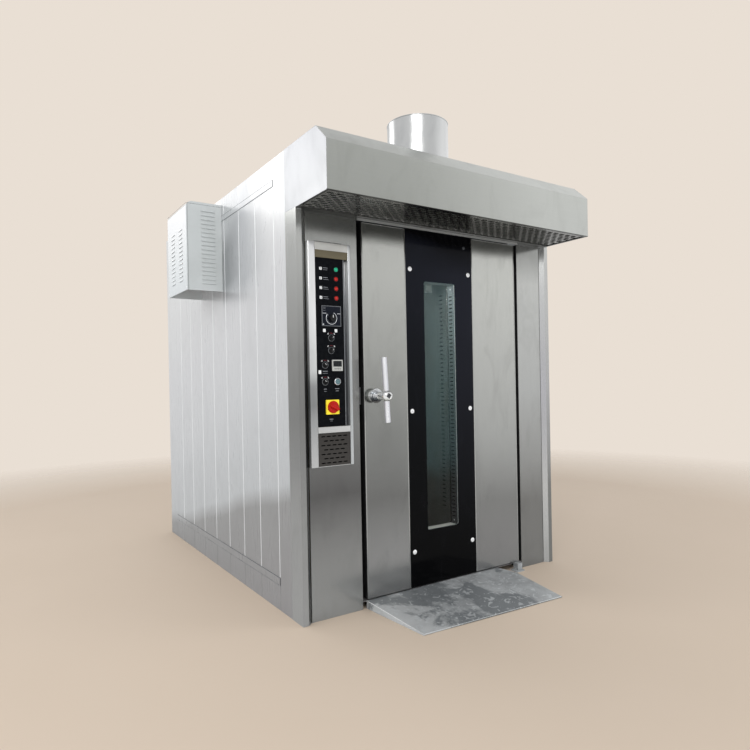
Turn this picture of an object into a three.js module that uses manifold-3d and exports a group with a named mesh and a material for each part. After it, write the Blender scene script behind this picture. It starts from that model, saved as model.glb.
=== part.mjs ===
// Rotating rack oven: a walk-up baking oven that a tray trolley rolls into and turns in.
// Units are millimetres, +Z is up, +X is to the right of someone facing the door, +Y runs
// from the door to the back. The origin is the centre of the cabinet's footprint on the floor.

import * as THREE from 'three';
import { mergeGeometries, mergeVertices } from 'three/addons/utils/BufferGeometryUtils.js';
import Module from 'manifold-3d';

const wasm = await Module();
wasm.setup();

// ---------------------------------------------------------------- driving dimensions

// cabinet
const cabinetWidth = 1756;
const cabinetDepth = 2308;
const gap = 0.3; // between pieces that touch
const sheet = 3; // folded stainless sheet
const floorHeight = 40; // top of the chamber floor

// outer cladding
const plankSetback = 2; // planks lie this far behind the trims and corner posts
const plankSheet = 4;
const plankWidth = 242;
const plankJointWidth = 6;
const plankJointDepth = 2.5;
const firstPlankWidth = 142;
const trimTop = { drop: 108, height: 29 }; // its upper edge below the roof
const trimBottom = { rise: 130, height: 36 };
const trimRearSetback = 178; // the trims stop short of the back edge

// front corner posts and pillars
const postFace = 30;
const postBevel = { width: 25, depth: 22.5 };
const postReturn = 24;
const postSideDepth = 118;
const pillarLeftWidth = 349; // from the cabinet's left edge to the door gap
const pillarRightWidth = 254; // from the door gap to the cabinet's right edge

// door
const doorGap = 28; // the door fills the rest of the width between the pillars
const doorBottom = 48;
const doorHeight = 1928;
const doorSetback = 20; // face behind the cabinet's front plane
const doorThickness = 80;
const doorSheet = 2;
const weldInset = 0.5; // plates welded into a folded skin stop this far inside its edges
const glassOffset = 276; // from the door's left edge
const glassWidth = 474;
const glassThickness = 8;
const glassRecess = 1; // glass face behind the steel face
const windowOffset = 400;
const windowWidth = 225.5;
const windowMargin = { bottom: 291, top: 271 }; // from the door's bottom and top edges
const windowCorner = 14;
const sleeveWall = 2;
const paneThickness = 6;
const boltInset = 29; // bolt centres from the glass edges
const boltFromBottom = [189, 949];
const boltFromTop = 213;
const boltRadius = 12.5;
const boltDome = 5;
const gasketWidth = 25;
const gasketDepth = 18;
const gasketInset = 40;
const pivotInset = 20; // hinge axis from the door's right edge
const pivotDepth = 25; // hinge axis behind the door's face
const pivotPinRadius = 9;
const pivotPinRise = 14;
const pivotClearance = 0.6;

// door handle and latch
const handleOffset = 56; // spindle from the door's left edge
const handleHeight = 1088;
const flangeRadius = 37.5;
const flangeThickness = 6;
const collarRadius = 27.5;
const collarLength = 44;
const spindleRadius = 15;
const tenonRadius = 8;
const tenonLength = 12;
const hubRadius = 23.5;
const hubReach = 127; // ball centre in front of the door's face
const socketRadius = 10;
const socketDepth = 9;
const barRadius = 12.5;
const barAbove = 193;
const barBelow = 134;
const barTilt = 2.5; // degrees
const boltBar = { height: 20, thickness: 12, length: 150, depth: 40 };
const latchTravel = 22;
const latchClearance = 0.5;
const keeper = { reach: 22, lip: 10, height: 90 };

// door portal, the frame the gasket lands on
const portalInset = 68.5; // opening's sides inside the door's edges
const portalDrop = 76; // opening's top below the door's top edge
const portalSheet = 8;
const portalOverlap = 18; // portal beyond the door gap on each side
const headStrip = { aboveDoor: 3.5, belowHood: 0.7, front: 12 };

// baking chamber
const chamberOutset = 37.5; // chamber's side walls beyond the door's edges
const chamberDepth = 1090;
const lintel = 35; // ceiling above the portal's opening
const chamberSheet = 3;
const plenumDepth = 85;
const insulationThickness = 100;
const ceilingWoolThickness = 90;
const fanInletRadius = 150;

// slotted air duct on the right chamber wall
const ductColumns = 2;
const ductColumnPitch = 98;
const ductFirstColumn = 540; // column centre from the chamber's front
const ductSlot = { length: 40, height: 9, pitch: 30 };
const ductPlain = { low: 220, high: 166 }; // panel without slots above the floor, under the ceiling
const ductJointWidth = 5;
const ductJointDepth = 1.5;

// hood
const hoodReach = 307;
const hoodAboveDoor = 17;
const hoodHeight = 307;
const hoodFaceHeight = 221;
const hoodSlopeRun = 93.5;
const hoodRoofDepth = 260; // over the cabinet, behind its front plane
const hoodLip = 14;
const hoodFloor = 11; // depth of the folded edge under the hood's cavity
const hoodAboveWool = 12; // part over the chamber, above the ceiling's insulation
const grilleThickness = 2.5;
const grilleSlot = { length: 51, width: 13 };
const grillePitch = { x: 61, y: 33 };
const grilleMargin = { x: 53, y: 27 }; // plain border round the slots

// exhaust collar
const collarPipeRadius = 164.5;
const collarPipeWall = 3;
const collarPipeRise = 248;
const collarOffset = { x: -117, y: 31 }; // from the centre of the cabinet's front edge
const collarBead = 3;

// burner and its cover on the left wall
const cover = { reach: 215, front: 1027, back: 1437, drop: 39, height: 531 };
const coverSheet = 2;
const coverRound = 38;
const louvre = { height: 12, projection: 5, sheet: 1.5, slot: 5, pitch: 25.7 };
const louvreRowsFront = 18;
const louvreRowsSide = 13;
const louvreFrontWidth = 84;
const louvreFrontInset = 42; // from the cladding
const louvreSideWidth = 72;
const louvreSidePitch = 167;
const louvreSideRise = 65; // lowest row above the cover's edge
const burnerAxis = { y: 1352, drop: 315 };
const blastTubeRadius = 55;
const blastTubeReach = 38; // into the drum
const burnerBody = { length: 150, radius: 62, motorLength: 190, motorRadius: 50 };
const burnerFlange = { thickness: 12, radius: 76 };

// heat exchanger and circulation fan behind the chamber
const drumRadius = 112;
const drumClearance = 20; // between the drum and the chamber's rear wall
const drumInset = 40; // drum's ends inside the chamber's side walls
const exchangerSheet = 4;
const exchangerTubes = 7;
const exchangerTubeRadius = 32;
const exchangerHeader = { depth: 170, height: 120 };
const tubesBehindDrum = 322; // from the drum's axis to the tubes' axes
const exchangerFoot = { height: 60, width: 60, depth: 100 };
const fanDrop = 485; // fan shaft below the drum's axis
const fanRadius = 215;
const fanWidth = 110;
const fanBlades = 10;
const fanHub = { radius: 34, length: 60 };
const fanRunningGap = 12;
const fanShaftRadius = 14;
const fanPlate = 560;
const fanPlateSheet = 6;
const fanStud = 14;
const fanMotor = { radius: 95, length: 230 };

// rotation drive and trolley carrier
const driveTube = { radius: 62, wall: 38 };
const driveBox = { width: 190, height: 130 };
const driveMotor = { radius: 62, length: 230 };
const carrierShaftRadius = 20;
const carrierShaftGap = 1;
const carrierDrop = 60; // shaft below the ceiling
const carrierSpan = 820;
const carrierBar = { width: 70, height: 40 };
const carrierHook = { width: 60, drop: 78, sheet: 8, lip: 55 };

// control column on the left pillar
const columnFront = 5; // rail faces in front of the cabinet's front plane
const columnDrop = 151; // column's top below the hood
const columnHeight = 1092;
const railLeft = { from: 58, width: 39 };
const railRight = { from: 279, width: 17 };
const columnPlateSetback = 10; // control plate behind the rail faces
const topBarHeight = 39;
const midBar = { rise: 164, height: 30 };
const shadowStrip = 35; // sloping strip between the top bar and the plate
const controlPlate = { from: 103, to: 262, sheet: 3 };
const ventSlot = { length: 22, height: 5 };
const ventPitch = { x: 31, z: 21.5 };
const ventRows = 7;
const ventPerRow = 5;

// controls: x from the cabinet's left edge, drop from the control plate's top edge
const lamp = { x: 215, drop: 53, pitch: 47, count: 4, radius: 11, depth: 9 };
const timerPlate = { x: 183, drop: 283, width: 108, height: 100, depth: 6 };
const timerDial = { x: 183, drop: 294, ring: 29 };
const timerKnob = { radius: 18, depth: 16 };
const display = { x: 213, drop: 524.5, width: 59, height: 55, depth: 5, bezel: 7 };
const selectorKnob = { radius: 13, depth: 15 };
const selectorTurn = 45; // degrees from upright
const selectors = [
  { x: 183, drop: 390, turn: selectorTurn },
  { x: 182, drop: 451, turn: selectorTurn },
  { x: 146, drop: 523, turn: -selectorTurn },
  { x: 145, drop: 605, turn: -selectorTurn },
];
const pushButton = { x: 213, drop: 604, radius: 18, bore: 14.4, depth: 9 };
const pushTravel = 4;
const pushClearance = 0.4;
const switchPlate = { x: 181, drop: 728.5, size: 71, depth: 8 };
const mainKnob = { radius: 30, depth: 26, turn: -60 };

// entry ramp: its corners inside the door's edges, and their reach in front of the cabinet
const rampBack = { left: -5, right: 139 };
const rampFront = { left: 26, right: 185, leftReach: 409, rightReach: 458 };
const rampSheet = 4;
const rampNose = 6; // top of the ramp's front edge above the floor
const rampCorner = { width: 40, depth: 120 }; // cut away beside the hinge

// base frame
const runnerWidth = 60;
const runnerCount = 3;

// ---------------------------------------------------------------- derived places

const left = -cabinetWidth / 2;
const right = cabinetWidth / 2;
const front = -cabinetDepth / 2;
const back = cabinetDepth / 2;
const claddingDepth = plankSetback + plankSheet;
const coreLeft = left + claddingDepth + gap;
const coreRight = right - claddingDepth - gap;
const coreBack = back - claddingDepth - gap;
const doorTop = doorBottom + doorHeight;
const hoodUnderside = doorTop + hoodAboveDoor;
const roofHeight = hoodUnderside + hoodHeight;
const pillarTop = hoodUnderside - gap;

const doorLeft = left + pillarLeftWidth + doorGap;
const doorRight = right - pillarRightWidth - doorGap;
const doorCentre = (doorLeft + doorRight) / 2;
const doorFront = front + doorSetback;
const doorBack = doorFront + doorThickness;
const pillarFront = front + postBevel.depth;
const pillarRightEdge = doorRight + doorGap;
const landing = doorBack + gasketDepth; // plane that the gasket closes on
const glassLeft = doorLeft + glassOffset;
const glassRight = glassLeft + glassWidth;
const windowLeft = doorLeft + windowOffset;
const windowRight = windowLeft + windowWidth;
const windowBottom = doorBottom + windowMargin.bottom;
const windowTop = doorTop - windowMargin.top;
const boltHeights = [...boltFromBottom.map((rise) => doorBottom + rise), doorTop - boltFromTop];
const pivotX = doorRight - pivotInset;
const pivotY = doorFront + pivotDepth;
const handleX = doorLeft + handleOffset;
const latchY0 = doorFront + boltBar.depth - boltBar.thickness / 2;
const latchY1 = doorFront + boltBar.depth + boltBar.thickness / 2;
const portalLeft = doorLeft + portalInset;
const portalRight = doorRight - portalInset;
const portalTop = doorTop - portalDrop;
const headStripLow = doorTop + headStrip.aboveDoor;
const headStripHigh = hoodUnderside - headStrip.belowHood;

const chamberLeft = doorLeft - chamberOutset;
const chamberRight = doorRight + chamberOutset;
const chamberFront = landing + portalSheet + gap;
const chamberBack = chamberFront + chamberDepth;
const chamberMiddle = (chamberFront + chamberBack) / 2;
const ceiling = portalTop + lintel;
const plenumBack = chamberRight + plenumDepth;
const wallFoot = floorHeight + gap;
const wallHead = ceiling - gap;

const hoodFront = front - hoodReach;
const hoodRidge = hoodFront + hoodSlopeRun;
const hoodBack = front + hoodRoofDepth;
const hoodFaceTop = hoodUnderside + hoodFaceHeight;
const hoodRearLow = ceiling + chamberSheet + ceilingWoolThickness + hoodAboveWool;
const collarX = collarOffset.x;
const collarY = front + collarOffset.y;
const pillarBack = landing - gap;
const coverHigh = roofHeight - cover.drop;
const coverLow = coverHigh - cover.height;
const drumY = front + burnerAxis.y;
const drumZ = roofHeight - burnerAxis.drop;
const drumLeft = chamberLeft + drumInset;
const drumRight = chamberRight - drumInset;
const fanHeight = drumZ - fanDrop;

const columnFace = front - columnFront;
const columnBack = pillarFront - gap;
const plateFace = columnFace + columnPlateSetback;
const columnHigh = hoodUnderside - columnDrop;
const columnLow = columnHigh - columnHeight;
const midBarLow = columnLow + midBar.rise;
const midBarHigh = midBarLow + midBar.height;
const plateTop = columnHigh - topBarHeight - shadowStrip;
const onPlate = plateFace - gap;
const belowTop = (drop) => plateTop - drop;
const fromLeft = (x) => left + x;

// ---------------------------------------------------------------- materials

const finish = (color, roughness, metalness) =>
  new THREE.MeshStandardMaterial({ color, roughness, metalness });

const brushed = () => finish('#a9aaa6', 0.34, 1);
const paleSteel = () => finish('#c9cac9', 0.4, 0.9);
const chrome = () => finish('#dcdde0', 0.12, 1);
const liner = () => finish('#8f948f', 0.45, 1);
const whitePaint = () => finish('#d5dad9', 0.5, 0.1);
const darkPaint = () => finish('#3c4046', 0.6, 0.3);
const castBlack = () => finish('#26282b', 0.6, 0.2);
const wool = () => finish('#b9a77c', 0.95, 0);
const rubber = () => finish('#121314', 0.85, 0);
const blackGlass = () => finish('#1c1e26', 0.08, 0);
const blackPlastic = () => finish('#15161a', 0.4, 0);
const greyPlastic = () => finish('#c9c9c5', 0.5, 0);
const galvanised = () => finish('#84888b', 0.5, 0.9);
const grilleSteel = () => finish('#5b574d', 0.5, 0.9);
const yellow = () => finish('#f2d51c', 0.45, 0);
const red = () => finish('#d8261c', 0.35, 0);
const green = () => finish('#22b487', 0.3, 0);
const clearGlass = () => {
  const material = finish('#a9c4c2', 0.05, 0);
  material.transparent = true;
  material.opacity = 0.35;
  return material;
};

// ---------------------------------------------------------------- shape helpers

// One closed indexed geometry: corners shared, triangles of no area dropped.
function closed(geometry) {
  const bare = geometry.clone();
  bare.deleteAttribute('normal');
  bare.deleteAttribute('uv');
  const merged = mergeVertices(bare, 1e-4);
  const index = merged.index.array;
  const kept = [];
  for (let i = 0; i < index.length; i += 3) {
    const [a, b, c] = [index[i], index[i + 1], index[i + 2]];
    if (a !== b && b !== c && c !== a) kept.push(a, b, c);
  }
  merged.setIndex(kept);
  return merged;
}

function toSolid(geometry) {
  const mesh = closed(geometry);
  return new wasm.Manifold(new wasm.Mesh({
    numProp: 3,
    vertProperties: new Float32Array(mesh.attributes.position.array),
    triVerts: new Uint32Array(mesh.index.array),
  }));
}

function toGeometry(solid) {
  const mesh = solid.getMesh();
  const geometry = new THREE.BufferGeometry();
  geometry.setAttribute('position', new THREE.BufferAttribute(mesh.vertProperties, 3));
  geometry.setIndex(new THREE.BufferAttribute(mesh.triVerts, 1));
  return geometry;
}

function join(...pieces) {
  let solid = toSolid(pieces[0]);
  for (const piece of pieces.slice(1)) solid = solid.add(toSolid(piece));
  return toGeometry(solid);
}

function cut(body, ...tools) {
  let solid = toSolid(body);
  for (const tool of tools) solid = solid.subtract(toSolid(tool));
  return toGeometry(solid);
}

// Cuts a whole field of separate openings in one go.
const perforate = (body, openings) => cut(body, mergeGeometries(openings));

// A block between two corners.
function block(x0, x1, y0, y1, z0, z1) {
  const geometry = new THREE.BoxGeometry(x1 - x0, y1 - y0, z1 - z0);
  return geometry.translate((x0 + x1) / 2, (y0 + y1) / 2, (z0 + z1) / 2);
}

const outline = (points) => new THREE.Shape(points.map(([a, b]) => new THREE.Vector2(a, b)));

// A rectangle between two corners, its corners rounded when a radius is given.
function rectangle(a0, b0, a1, b1, radius = 0) {
  if (!radius) return outline([[a0, b0], [a1, b0], [a1, b1], [a0, b1]]);
  const shape = new THREE.Shape();
  shape.absarc(a1 - radius, b0 + radius, radius, -Math.PI / 2, 0);
  shape.absarc(a1 - radius, b1 - radius, radius, 0, Math.PI / 2);
  shape.absarc(a0 + radius, b1 - radius, radius, Math.PI / 2, Math.PI);
  shape.absarc(a0 + radius, b0 + radius, radius, Math.PI, Math.PI * 1.5);
  return shape;
}

// Extrudes an outline along an axis. The outline's own axes are (y, z) for x, (x, z) for y
// and (x, y) for z.
function extruded(shape, axis, from, to, curveSegments = 4) {
  const options = { depth: to - from, bevelEnabled: false, curveSegments };
  const geometry = new THREE.ExtrudeGeometry(shape, options);
  if (axis === 'z') return geometry.translate(0, 0, from);
  if (axis === 'y') return geometry.translate(0, 0, -to).rotateX(Math.PI / 2);
  geometry.translate(0, 0, from);
  const alongX = new THREE.Matrix4().makeBasis(
    new THREE.Vector3(0, 1, 0),
    new THREE.Vector3(0, 0, 1),
    new THREE.Vector3(1, 0, 0),
  );
  return geometry.applyMatrix4(alongX);
}

// A round bar along an axis from one coordinate to another, centred on the other two.
function rod(axis, from, to, centre, radius, sides = 16) {
  const geometry = new THREE.CylinderGeometry(radius, radius, to - from, sides);
  const middle = (from + to) / 2;
  if (axis === 'x') return geometry.rotateZ(Math.PI / 2).translate(middle, centre[0], centre[1]);
  if (axis === 'y') return geometry.translate(centre[0], middle, centre[1]);
  return geometry.rotateX(Math.PI / 2).translate(centre[0], centre[1], middle);
}

// A turned piece standing out of the front: its profile is [radius, distance towards -Y].
function turnedForward(profile, x, y, z, sides) {
  const points = profile.map(([radius, reach]) => new THREE.Vector2(radius, reach));
  return new THREE.LatheGeometry(points, sides).rotateX(Math.PI).translate(x, y, z);
}

// A sheet folded along a line of plan points, thickened to the right of its direction.
function folded(points, thickness) {
  const inner = points.map((point, i) => {
    const before = points[Math.max(i - 1, 0)];
    const after = points[Math.min(i + 1, points.length - 1)];
    const first = new THREE.Vector2(point[0] - before[0], point[1] - before[1]).normalize();
    const second = new THREE.Vector2(after[0] - point[0], after[1] - point[1]).normalize();
    if (i === 0) first.copy(second);
    if (i === points.length - 1) second.copy(first);
    const mitre = first.clone().add(second).normalize();
    const length = thickness / mitre.dot(first);
    return [point[0] + mitre.y * length, point[1] - mitre.x * length];
  });
  return outline([...points, ...inner.reverse()]);
}

const mirrored = (points) => points.map(([x, y]) => [-x, y]).reverse();

const oven = new THREE.Group();

function add(name, geometry, material) {
  const mesh = new THREE.Mesh(closed(geometry), material);
  mesh.name = name;
  oven.add(mesh);
}

// ---------------------------------------------------------------- cabinet shell

// Floor plate with turned-down rims and bearer bars, the middle bar under the origin, and a
// threshold that reaches forward between the pillars.
function baseFrame() {
  const body = block(coreLeft, coreRight, landing, coreBack, 0, floorHeight);
  const hollows = [];
  const step = (coreRight - coreLeft - 2 * sheet + runnerWidth) / (runnerCount + 1);
  for (let i = 0; i <= runnerCount; i += 1) {
    const x0 = coreLeft + sheet + i * step;
    const x1 = x0 + step - runnerWidth;
    hollows.push(block(x0, x1, landing + sheet, coreBack - sheet, -1, floorHeight - sheet));
  }
  const x0 = left + pillarLeftWidth + gap;
  const x1 = pillarRightEdge - gap;
  const y0 = pillarFront + sheet + gap;
  const threshold = block(x0, x1, y0, landing + 1, floorHeight - sheet, floorHeight);
  return join(perforate(body, hollows), threshold);
}

// Plan outline of a planked wall standing on the line from a to b, faced towards -normal.
function plankWall(length) {
  const points = [[0, plankSetback]];
  const half = plankJointWidth / 2;
  for (let at = firstPlankWidth; at < length - plankWidth / 2; at += plankWidth) {
    points.push([at - half, plankSetback]);
    points.push([at, plankSetback + plankJointDepth]);
    points.push([at + half, plankSetback]);
  }
  points.push([length, plankSetback], [length, claddingDepth], [0, claddingDepth]);
  return points;
}

// Side wall: vertical planks from the corner post to the back, with a trim above and below.
function sideCladding(side) {
  const start = front + postSideDepth + gap;
  const length = back - start;
  const plan = plankWall(length).map(([along, depth]) => [side * (right - depth), start + along]);
  const planks = extruded(outline(side < 0 ? plan : plan.reverse()), 'z', 0, roofHeight);
  const trimFront = start + firstPlankWidth;
  const trimBack = back - trimRearSetback;
  const outer = side * right;
  const inner = side * (right - plankSetback - 1);
  const trim = (y0, y1, low, height) =>
    block(Math.min(outer, inner), Math.max(outer, inner), y0, y1, low, low + height);
  const topLow = roofHeight - trimTop.drop - trimTop.height;
  const lower = trim(trimFront, trimBack, trimBottom.rise, trimBottom.height);
  if (side > 0) return join(planks, lower, trim(trimFront, trimBack, topLow, trimTop.height));
  const wall = join(planks, lower,
    trim(trimFront, front + cover.front - gap, topLow, trimTop.height),
    trim(front + cover.back + gap, trimBack, topLow, trimTop.height));
  return cut(wall, rod('x', left - 1, left + claddingDepth + 1, [drumY, drumZ],
    blastTubeRadius + gap, 16));
}

function rearCladding() {
  const start = left + claddingDepth + gap;
  const length = right - claddingDepth - gap - start;
  const wall = plankWall(length).map(([along, depth]) => [start + along, back - depth]);
  return extruded(outline(wall.reverse()), 'z', 0, roofHeight);
}

// Roof sheet with a rim turned down inside the cladding.
function roofPanel() {
  const y0 = hoodBack + gap;
  const top = roofHeight - plankSetback;
  const rim = 60;
  const shell = block(coreLeft, coreRight, y0, coreBack, top - rim, top);
  return cut(shell, block(coreLeft + sheet, coreRight - sheet, y0 + sheet, coreBack - sheet,
    top - rim - 1, top - sheet));
}

// Corner post: side face, front face, bevel, then a return behind the pillar panel.
function cornerPost(side) {
  const line = [
    [left, front + postSideDepth],
    [left, front],
    [left + postFace, front],
    [left + postFace + postBevel.width, pillarFront],
    [left + postFace + postBevel.width, pillarFront + postReturn],
  ];
  const points = side < 0 ? line : mirrored(line);
  return extruded(folded(points, -sheet), 'z', 0, hoodUnderside - gap);
}

// Pillar panel: flat front and a flange turned back along the door gap.
function pillarPanel(side) {
  const outer = side < 0 ? left + postFace + postBevel.width + gap + sheet
    : right - postFace - postBevel.width - gap - sheet;
  const inner = side < 0 ? left + pillarLeftWidth : pillarRightEdge;
  const line = [[outer, pillarFront], [inner, pillarFront], [inner, pillarBack]];
  const points = side < 0 ? line : line.reverse();
  return extruded(folded(points, -sheet), 'z', 0, pillarTop);
}

// Portal that the door closes on, with the light head strip above the door.
function doorFrame() {
  const x0 = left + pillarLeftWidth - portalOverlap;
  const x1 = pillarRightEdge + portalOverlap;
  const plate = block(x0, x1, landing, landing + portalSheet, wallFoot, headStripHigh);
  const opening = block(portalLeft, portalRight, landing - 1, landing + portalSheet + 1,
    wallFoot - 1, portalTop);
  const strip = block(left + pillarLeftWidth + gap, pillarRightEdge - gap,
    front + headStrip.front, landing + 1, headStripLow, headStripHigh);
  return join(cut(plate, opening), strip);
}

// ---------------------------------------------------------------- baking chamber

const wallBlock = (x0, x1, y0, y1) => block(x0, x1, y0, y1, wallFoot, wallHead);

// Slotted duct: vertical strips joined by shallow V joints, a column of air slots in each.
function airDuctPanel() {
  const y0 = chamberFront + gap;
  const y1 = chamberBack - gap;
  const plate = block(chamberRight, chamberRight + chamberSheet, y0, y1, wallFoot, wallHead);
  const openings = [];
  const low = floorHeight + ductPlain.low;
  const high = ceiling - ductPlain.high - ductSlot.height;
  const pitches = Math.round((high - low) / ductSlot.pitch);
  for (let column = 0; column < ductColumns; column += 1) {
    const y = chamberFront + ductFirstColumn + column * ductColumnPitch;
    for (let row = 0; row <= pitches; row += 1) {
      const half = ductSlot.length / 2;
      const z = low + row * ductSlot.pitch;
      openings.push(block(chamberRight - 1, chamberRight + chamberSheet + 1,
        y - half, y + half, z, z + ductSlot.height));
    }
  }
  for (let i = 0; i <= ductColumns; i += 1) {
    const y = chamberFront + ductFirstColumn + (i - 0.5) * ductColumnPitch;
    const half = ductJointWidth / 2;
    openings.push(block(chamberRight - 1, chamberRight + ductJointDepth, y - half, y + half,
      wallFoot - 1, wallHead + 1));
  }
  return perforate(plate, openings);
}

function chamberRearWall() {
  const x0 = chamberLeft - chamberSheet;
  const x1 = plenumBack + chamberSheet;
  const plate = wallBlock(x0, x1, chamberBack, chamberBack + chamberSheet);
  return cut(plate, rod('y', chamberBack - 5, chamberBack + chamberSheet + 5,
    [doorCentre, fanHeight], fanInletRadius, 24));
}

function chamberCeiling() {
  const x0 = chamberLeft - chamberSheet;
  const x1 = plenumBack + chamberSheet;
  const plate = block(x0, x1, chamberFront, chamberBack + chamberSheet,
    ceiling, ceiling + chamberSheet);
  return cut(plate, rod('z', ceiling - 5, ceiling + chamberSheet + 5,
    [doorCentre, chamberMiddle], carrierShaftRadius + carrierShaftGap, 16));
}

function ceilingWool() {
  const low = ceiling + chamberSheet + gap;
  const slab = block(chamberLeft, plenumBack, chamberFront, chamberBack,
    low, low + ceilingWoolThickness);
  return cut(slab, rod('z', low - 5, low + ceilingWoolThickness + 5,
    [doorCentre, chamberMiddle], driveTube.radius + gap, 20));
}

// Drive on the ceiling: bearing tube through the insulation, reducer and its motor.
function driveGearmotor() {
  const low = ceiling + chamberSheet + gap;
  const boxLow = low + ceilingWoolThickness + 8;
  const half = driveBox.width / 2;
  const tube = rod('z', low, boxLow + 1, [doorCentre, chamberMiddle], driveTube.radius, 20);
  const box = block(doorCentre - half, doorCentre + half, chamberMiddle - half,
    chamberMiddle + half, boxLow, boxLow + driveBox.height);
  const motorZ = boxLow + driveBox.height / 2;
  const motor = rod('y', chamberMiddle + half - 1, chamberMiddle + half + driveMotor.length,
    [doorCentre, motorZ], driveMotor.radius, 16);
  const bore = rod('z', low - 1, boxLow - 10, [doorCentre, chamberMiddle],
    carrierShaftRadius + carrierShaftGap, 16);
  return cut(join(tube, box, motor), bore);
}

// Carrier turned by the drive: shaft, cross bar and a hook at each end for the trolley's top.
function rackCarrier() {
  const top = ceiling + chamberSheet + ceilingWoolThickness - 20;
  const barTop = ceiling - carrierDrop;
  const barLow = barTop - carrierBar.height;
  const halfBar = carrierBar.width / 2;
  const halfSpan = carrierSpan / 2;
  const shaft = rod('z', barTop - 1, top, [doorCentre, chamberMiddle], carrierShaftRadius, 16);
  const bar = block(doorCentre - halfSpan, doorCentre + halfSpan, chamberMiddle - halfBar,
    chamberMiddle + halfBar, barLow, barTop);
  const hooks = [-1, 1].map((side) => {
    const edge = halfSpan * side;
    const profile = [
      [edge, barLow + 1],
      [edge, barLow - carrierHook.drop],
      [edge - side * carrierHook.lip, barLow - carrierHook.drop],
      [edge - side * carrierHook.lip, barLow - carrierHook.drop + carrierHook.sheet * 2],
      [edge - side * (carrierHook.lip - carrierHook.sheet),
        barLow - carrierHook.drop + carrierHook.sheet * 2],
      [edge - side * (carrierHook.lip - carrierHook.sheet),
        barLow - carrierHook.drop + carrierHook.sheet],
      [edge - side * carrierHook.sheet, barLow - carrierHook.drop + carrierHook.sheet],
      [edge - side * carrierHook.sheet, barLow + 1],
    ].map(([x, z]) => [doorCentre + x, z]);
    const half = carrierHook.width / 2;
    return extruded(outline(profile), 'y', chamberMiddle - half, chamberMiddle + half);
  });
  return join(bar, shaft, ...hooks);
}

// ---------------------------------------------------------------- air circulation and heat

// Centrifugal wheel: back plate, hub, straight backward blades and a front ring.
function fanWheel() {
  const y0 = chamberBack + chamberSheet + fanRunningGap;
  const y1 = y0 + fanWidth;
  const centre = [doorCentre, fanHeight];
  const backPlate = rod('y', y1 - 4, y1, centre, fanRadius, 20);
  const ring = cut(rod('y', y0, y0 + 4, centre, fanRadius, 20),
    rod('y', y0 - 2, y0 + 6, centre, fanInletRadius, 20));
  const hub = rod('y', y1 - fanHub.length, y1 + 1, centre, fanHub.radius, 12);
  const shaft = rod('y', y1, y1 + fanRunningGap + fanPlateSheet + 20, centre, fanShaftRadius, 12);
  const blades = [];
  for (let i = 0; i < fanBlades; i += 1) {
    const blade = new THREE.BoxGeometry(4, fanWidth - 4, fanRadius - fanInletRadius - 4);
    blade.rotateY(Math.PI / 5);
    blade.translate(0, 0, (fanRadius + fanInletRadius) / 2 - 1);
    blade.rotateY((i * 2 * Math.PI) / fanBlades);
    blade.translate(doorCentre, (y0 + y1) / 2, fanHeight);
    blades.push(blade);
  }
  return join(backPlate, ring, hub, shaft, ...blades);
}

// Motor on a plate that four studs hold off the chamber's rear wall.
function fanMotorUnit() {
  const wall = chamberBack + chamberSheet + gap;
  const plateY = chamberBack + chamberSheet + fanRunningGap + fanWidth + fanRunningGap;
  const half = fanPlate / 2;
  const reach = half - fanStud * 1.5;
  const plate = block(doorCentre - half, doorCentre + half, plateY, plateY + fanPlateSheet,
    fanHeight - half, fanHeight + half);
  const motor = rod('y', plateY + fanPlateSheet - 1, plateY + fanPlateSheet + fanMotor.length,
    [doorCentre, fanHeight], fanMotor.radius, 20);
  const studs = [[-1, -1], [1, -1], [1, 1], [-1, 1]].map(([i, j]) =>
    rod('y', wall, plateY + 1, [doorCentre + i * reach, fanHeight + j * reach], fanStud, 8));
  const bore = rod('y', plateY - 1, plateY + fanPlateSheet + 25, [doorCentre, fanHeight],
    fanShaftRadius + 1, 12);
  return cut(join(plate, motor, ...studs), bore);
}

// Combustion drum open into an upper header, with flue tubes down to a lower header on two
// feet: one shell of plate whose inside is a single space that opens at the burner's socket.
function heatExchanger() {
  const tubesY = drumY + tubesBehindDrum;
  const { depth, height } = exchangerHeader;
  const lowerLow = floorHeight + exchangerFoot.height;
  const pitch = (drumRight - drumLeft) / exchangerTubes;
  const form = (inset) => {
    const x0 = drumLeft + inset;
    const x1 = drumRight - inset;
    const y1 = tubesY + depth / 2 - inset;
    const half = height / 2 - inset;
    const parts = [
      rod('x', x0, x1, [drumY, drumZ], drumRadius - inset, 20),
      block(x0, x1, drumY, y1, drumZ - half, drumZ + half),
      block(x0, x1, tubesY - depth / 2 + inset, y1, lowerLow + inset, lowerLow + height - inset),
    ];
    for (let i = 0; i < exchangerTubes; i += 1) {
      parts.push(rod('z', lowerLow + height - inset - 1, drumZ - half + 1,
        [drumLeft + (i + 0.5) * pitch, tubesY], exchangerTubeRadius - inset, 8));
    }
    return join(...parts);
  };
  const feet = [drumLeft + exchangerFoot.width, drumRight - exchangerFoot.width].map((x) =>
    block(x - exchangerFoot.width / 2, x + exchangerFoot.width / 2,
      tubesY - exchangerFoot.depth / 2, tubesY + exchangerFoot.depth / 2, wallFoot,
      lowerLow + 1));
  const socket = rod('x', drumLeft - 1, drumLeft + exchangerSheet + 1, [drumY, drumZ],
    blastTubeRadius + gap, 16);
  return cut(join(form(0), ...feet), form(exchangerSheet), socket);
}

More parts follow.
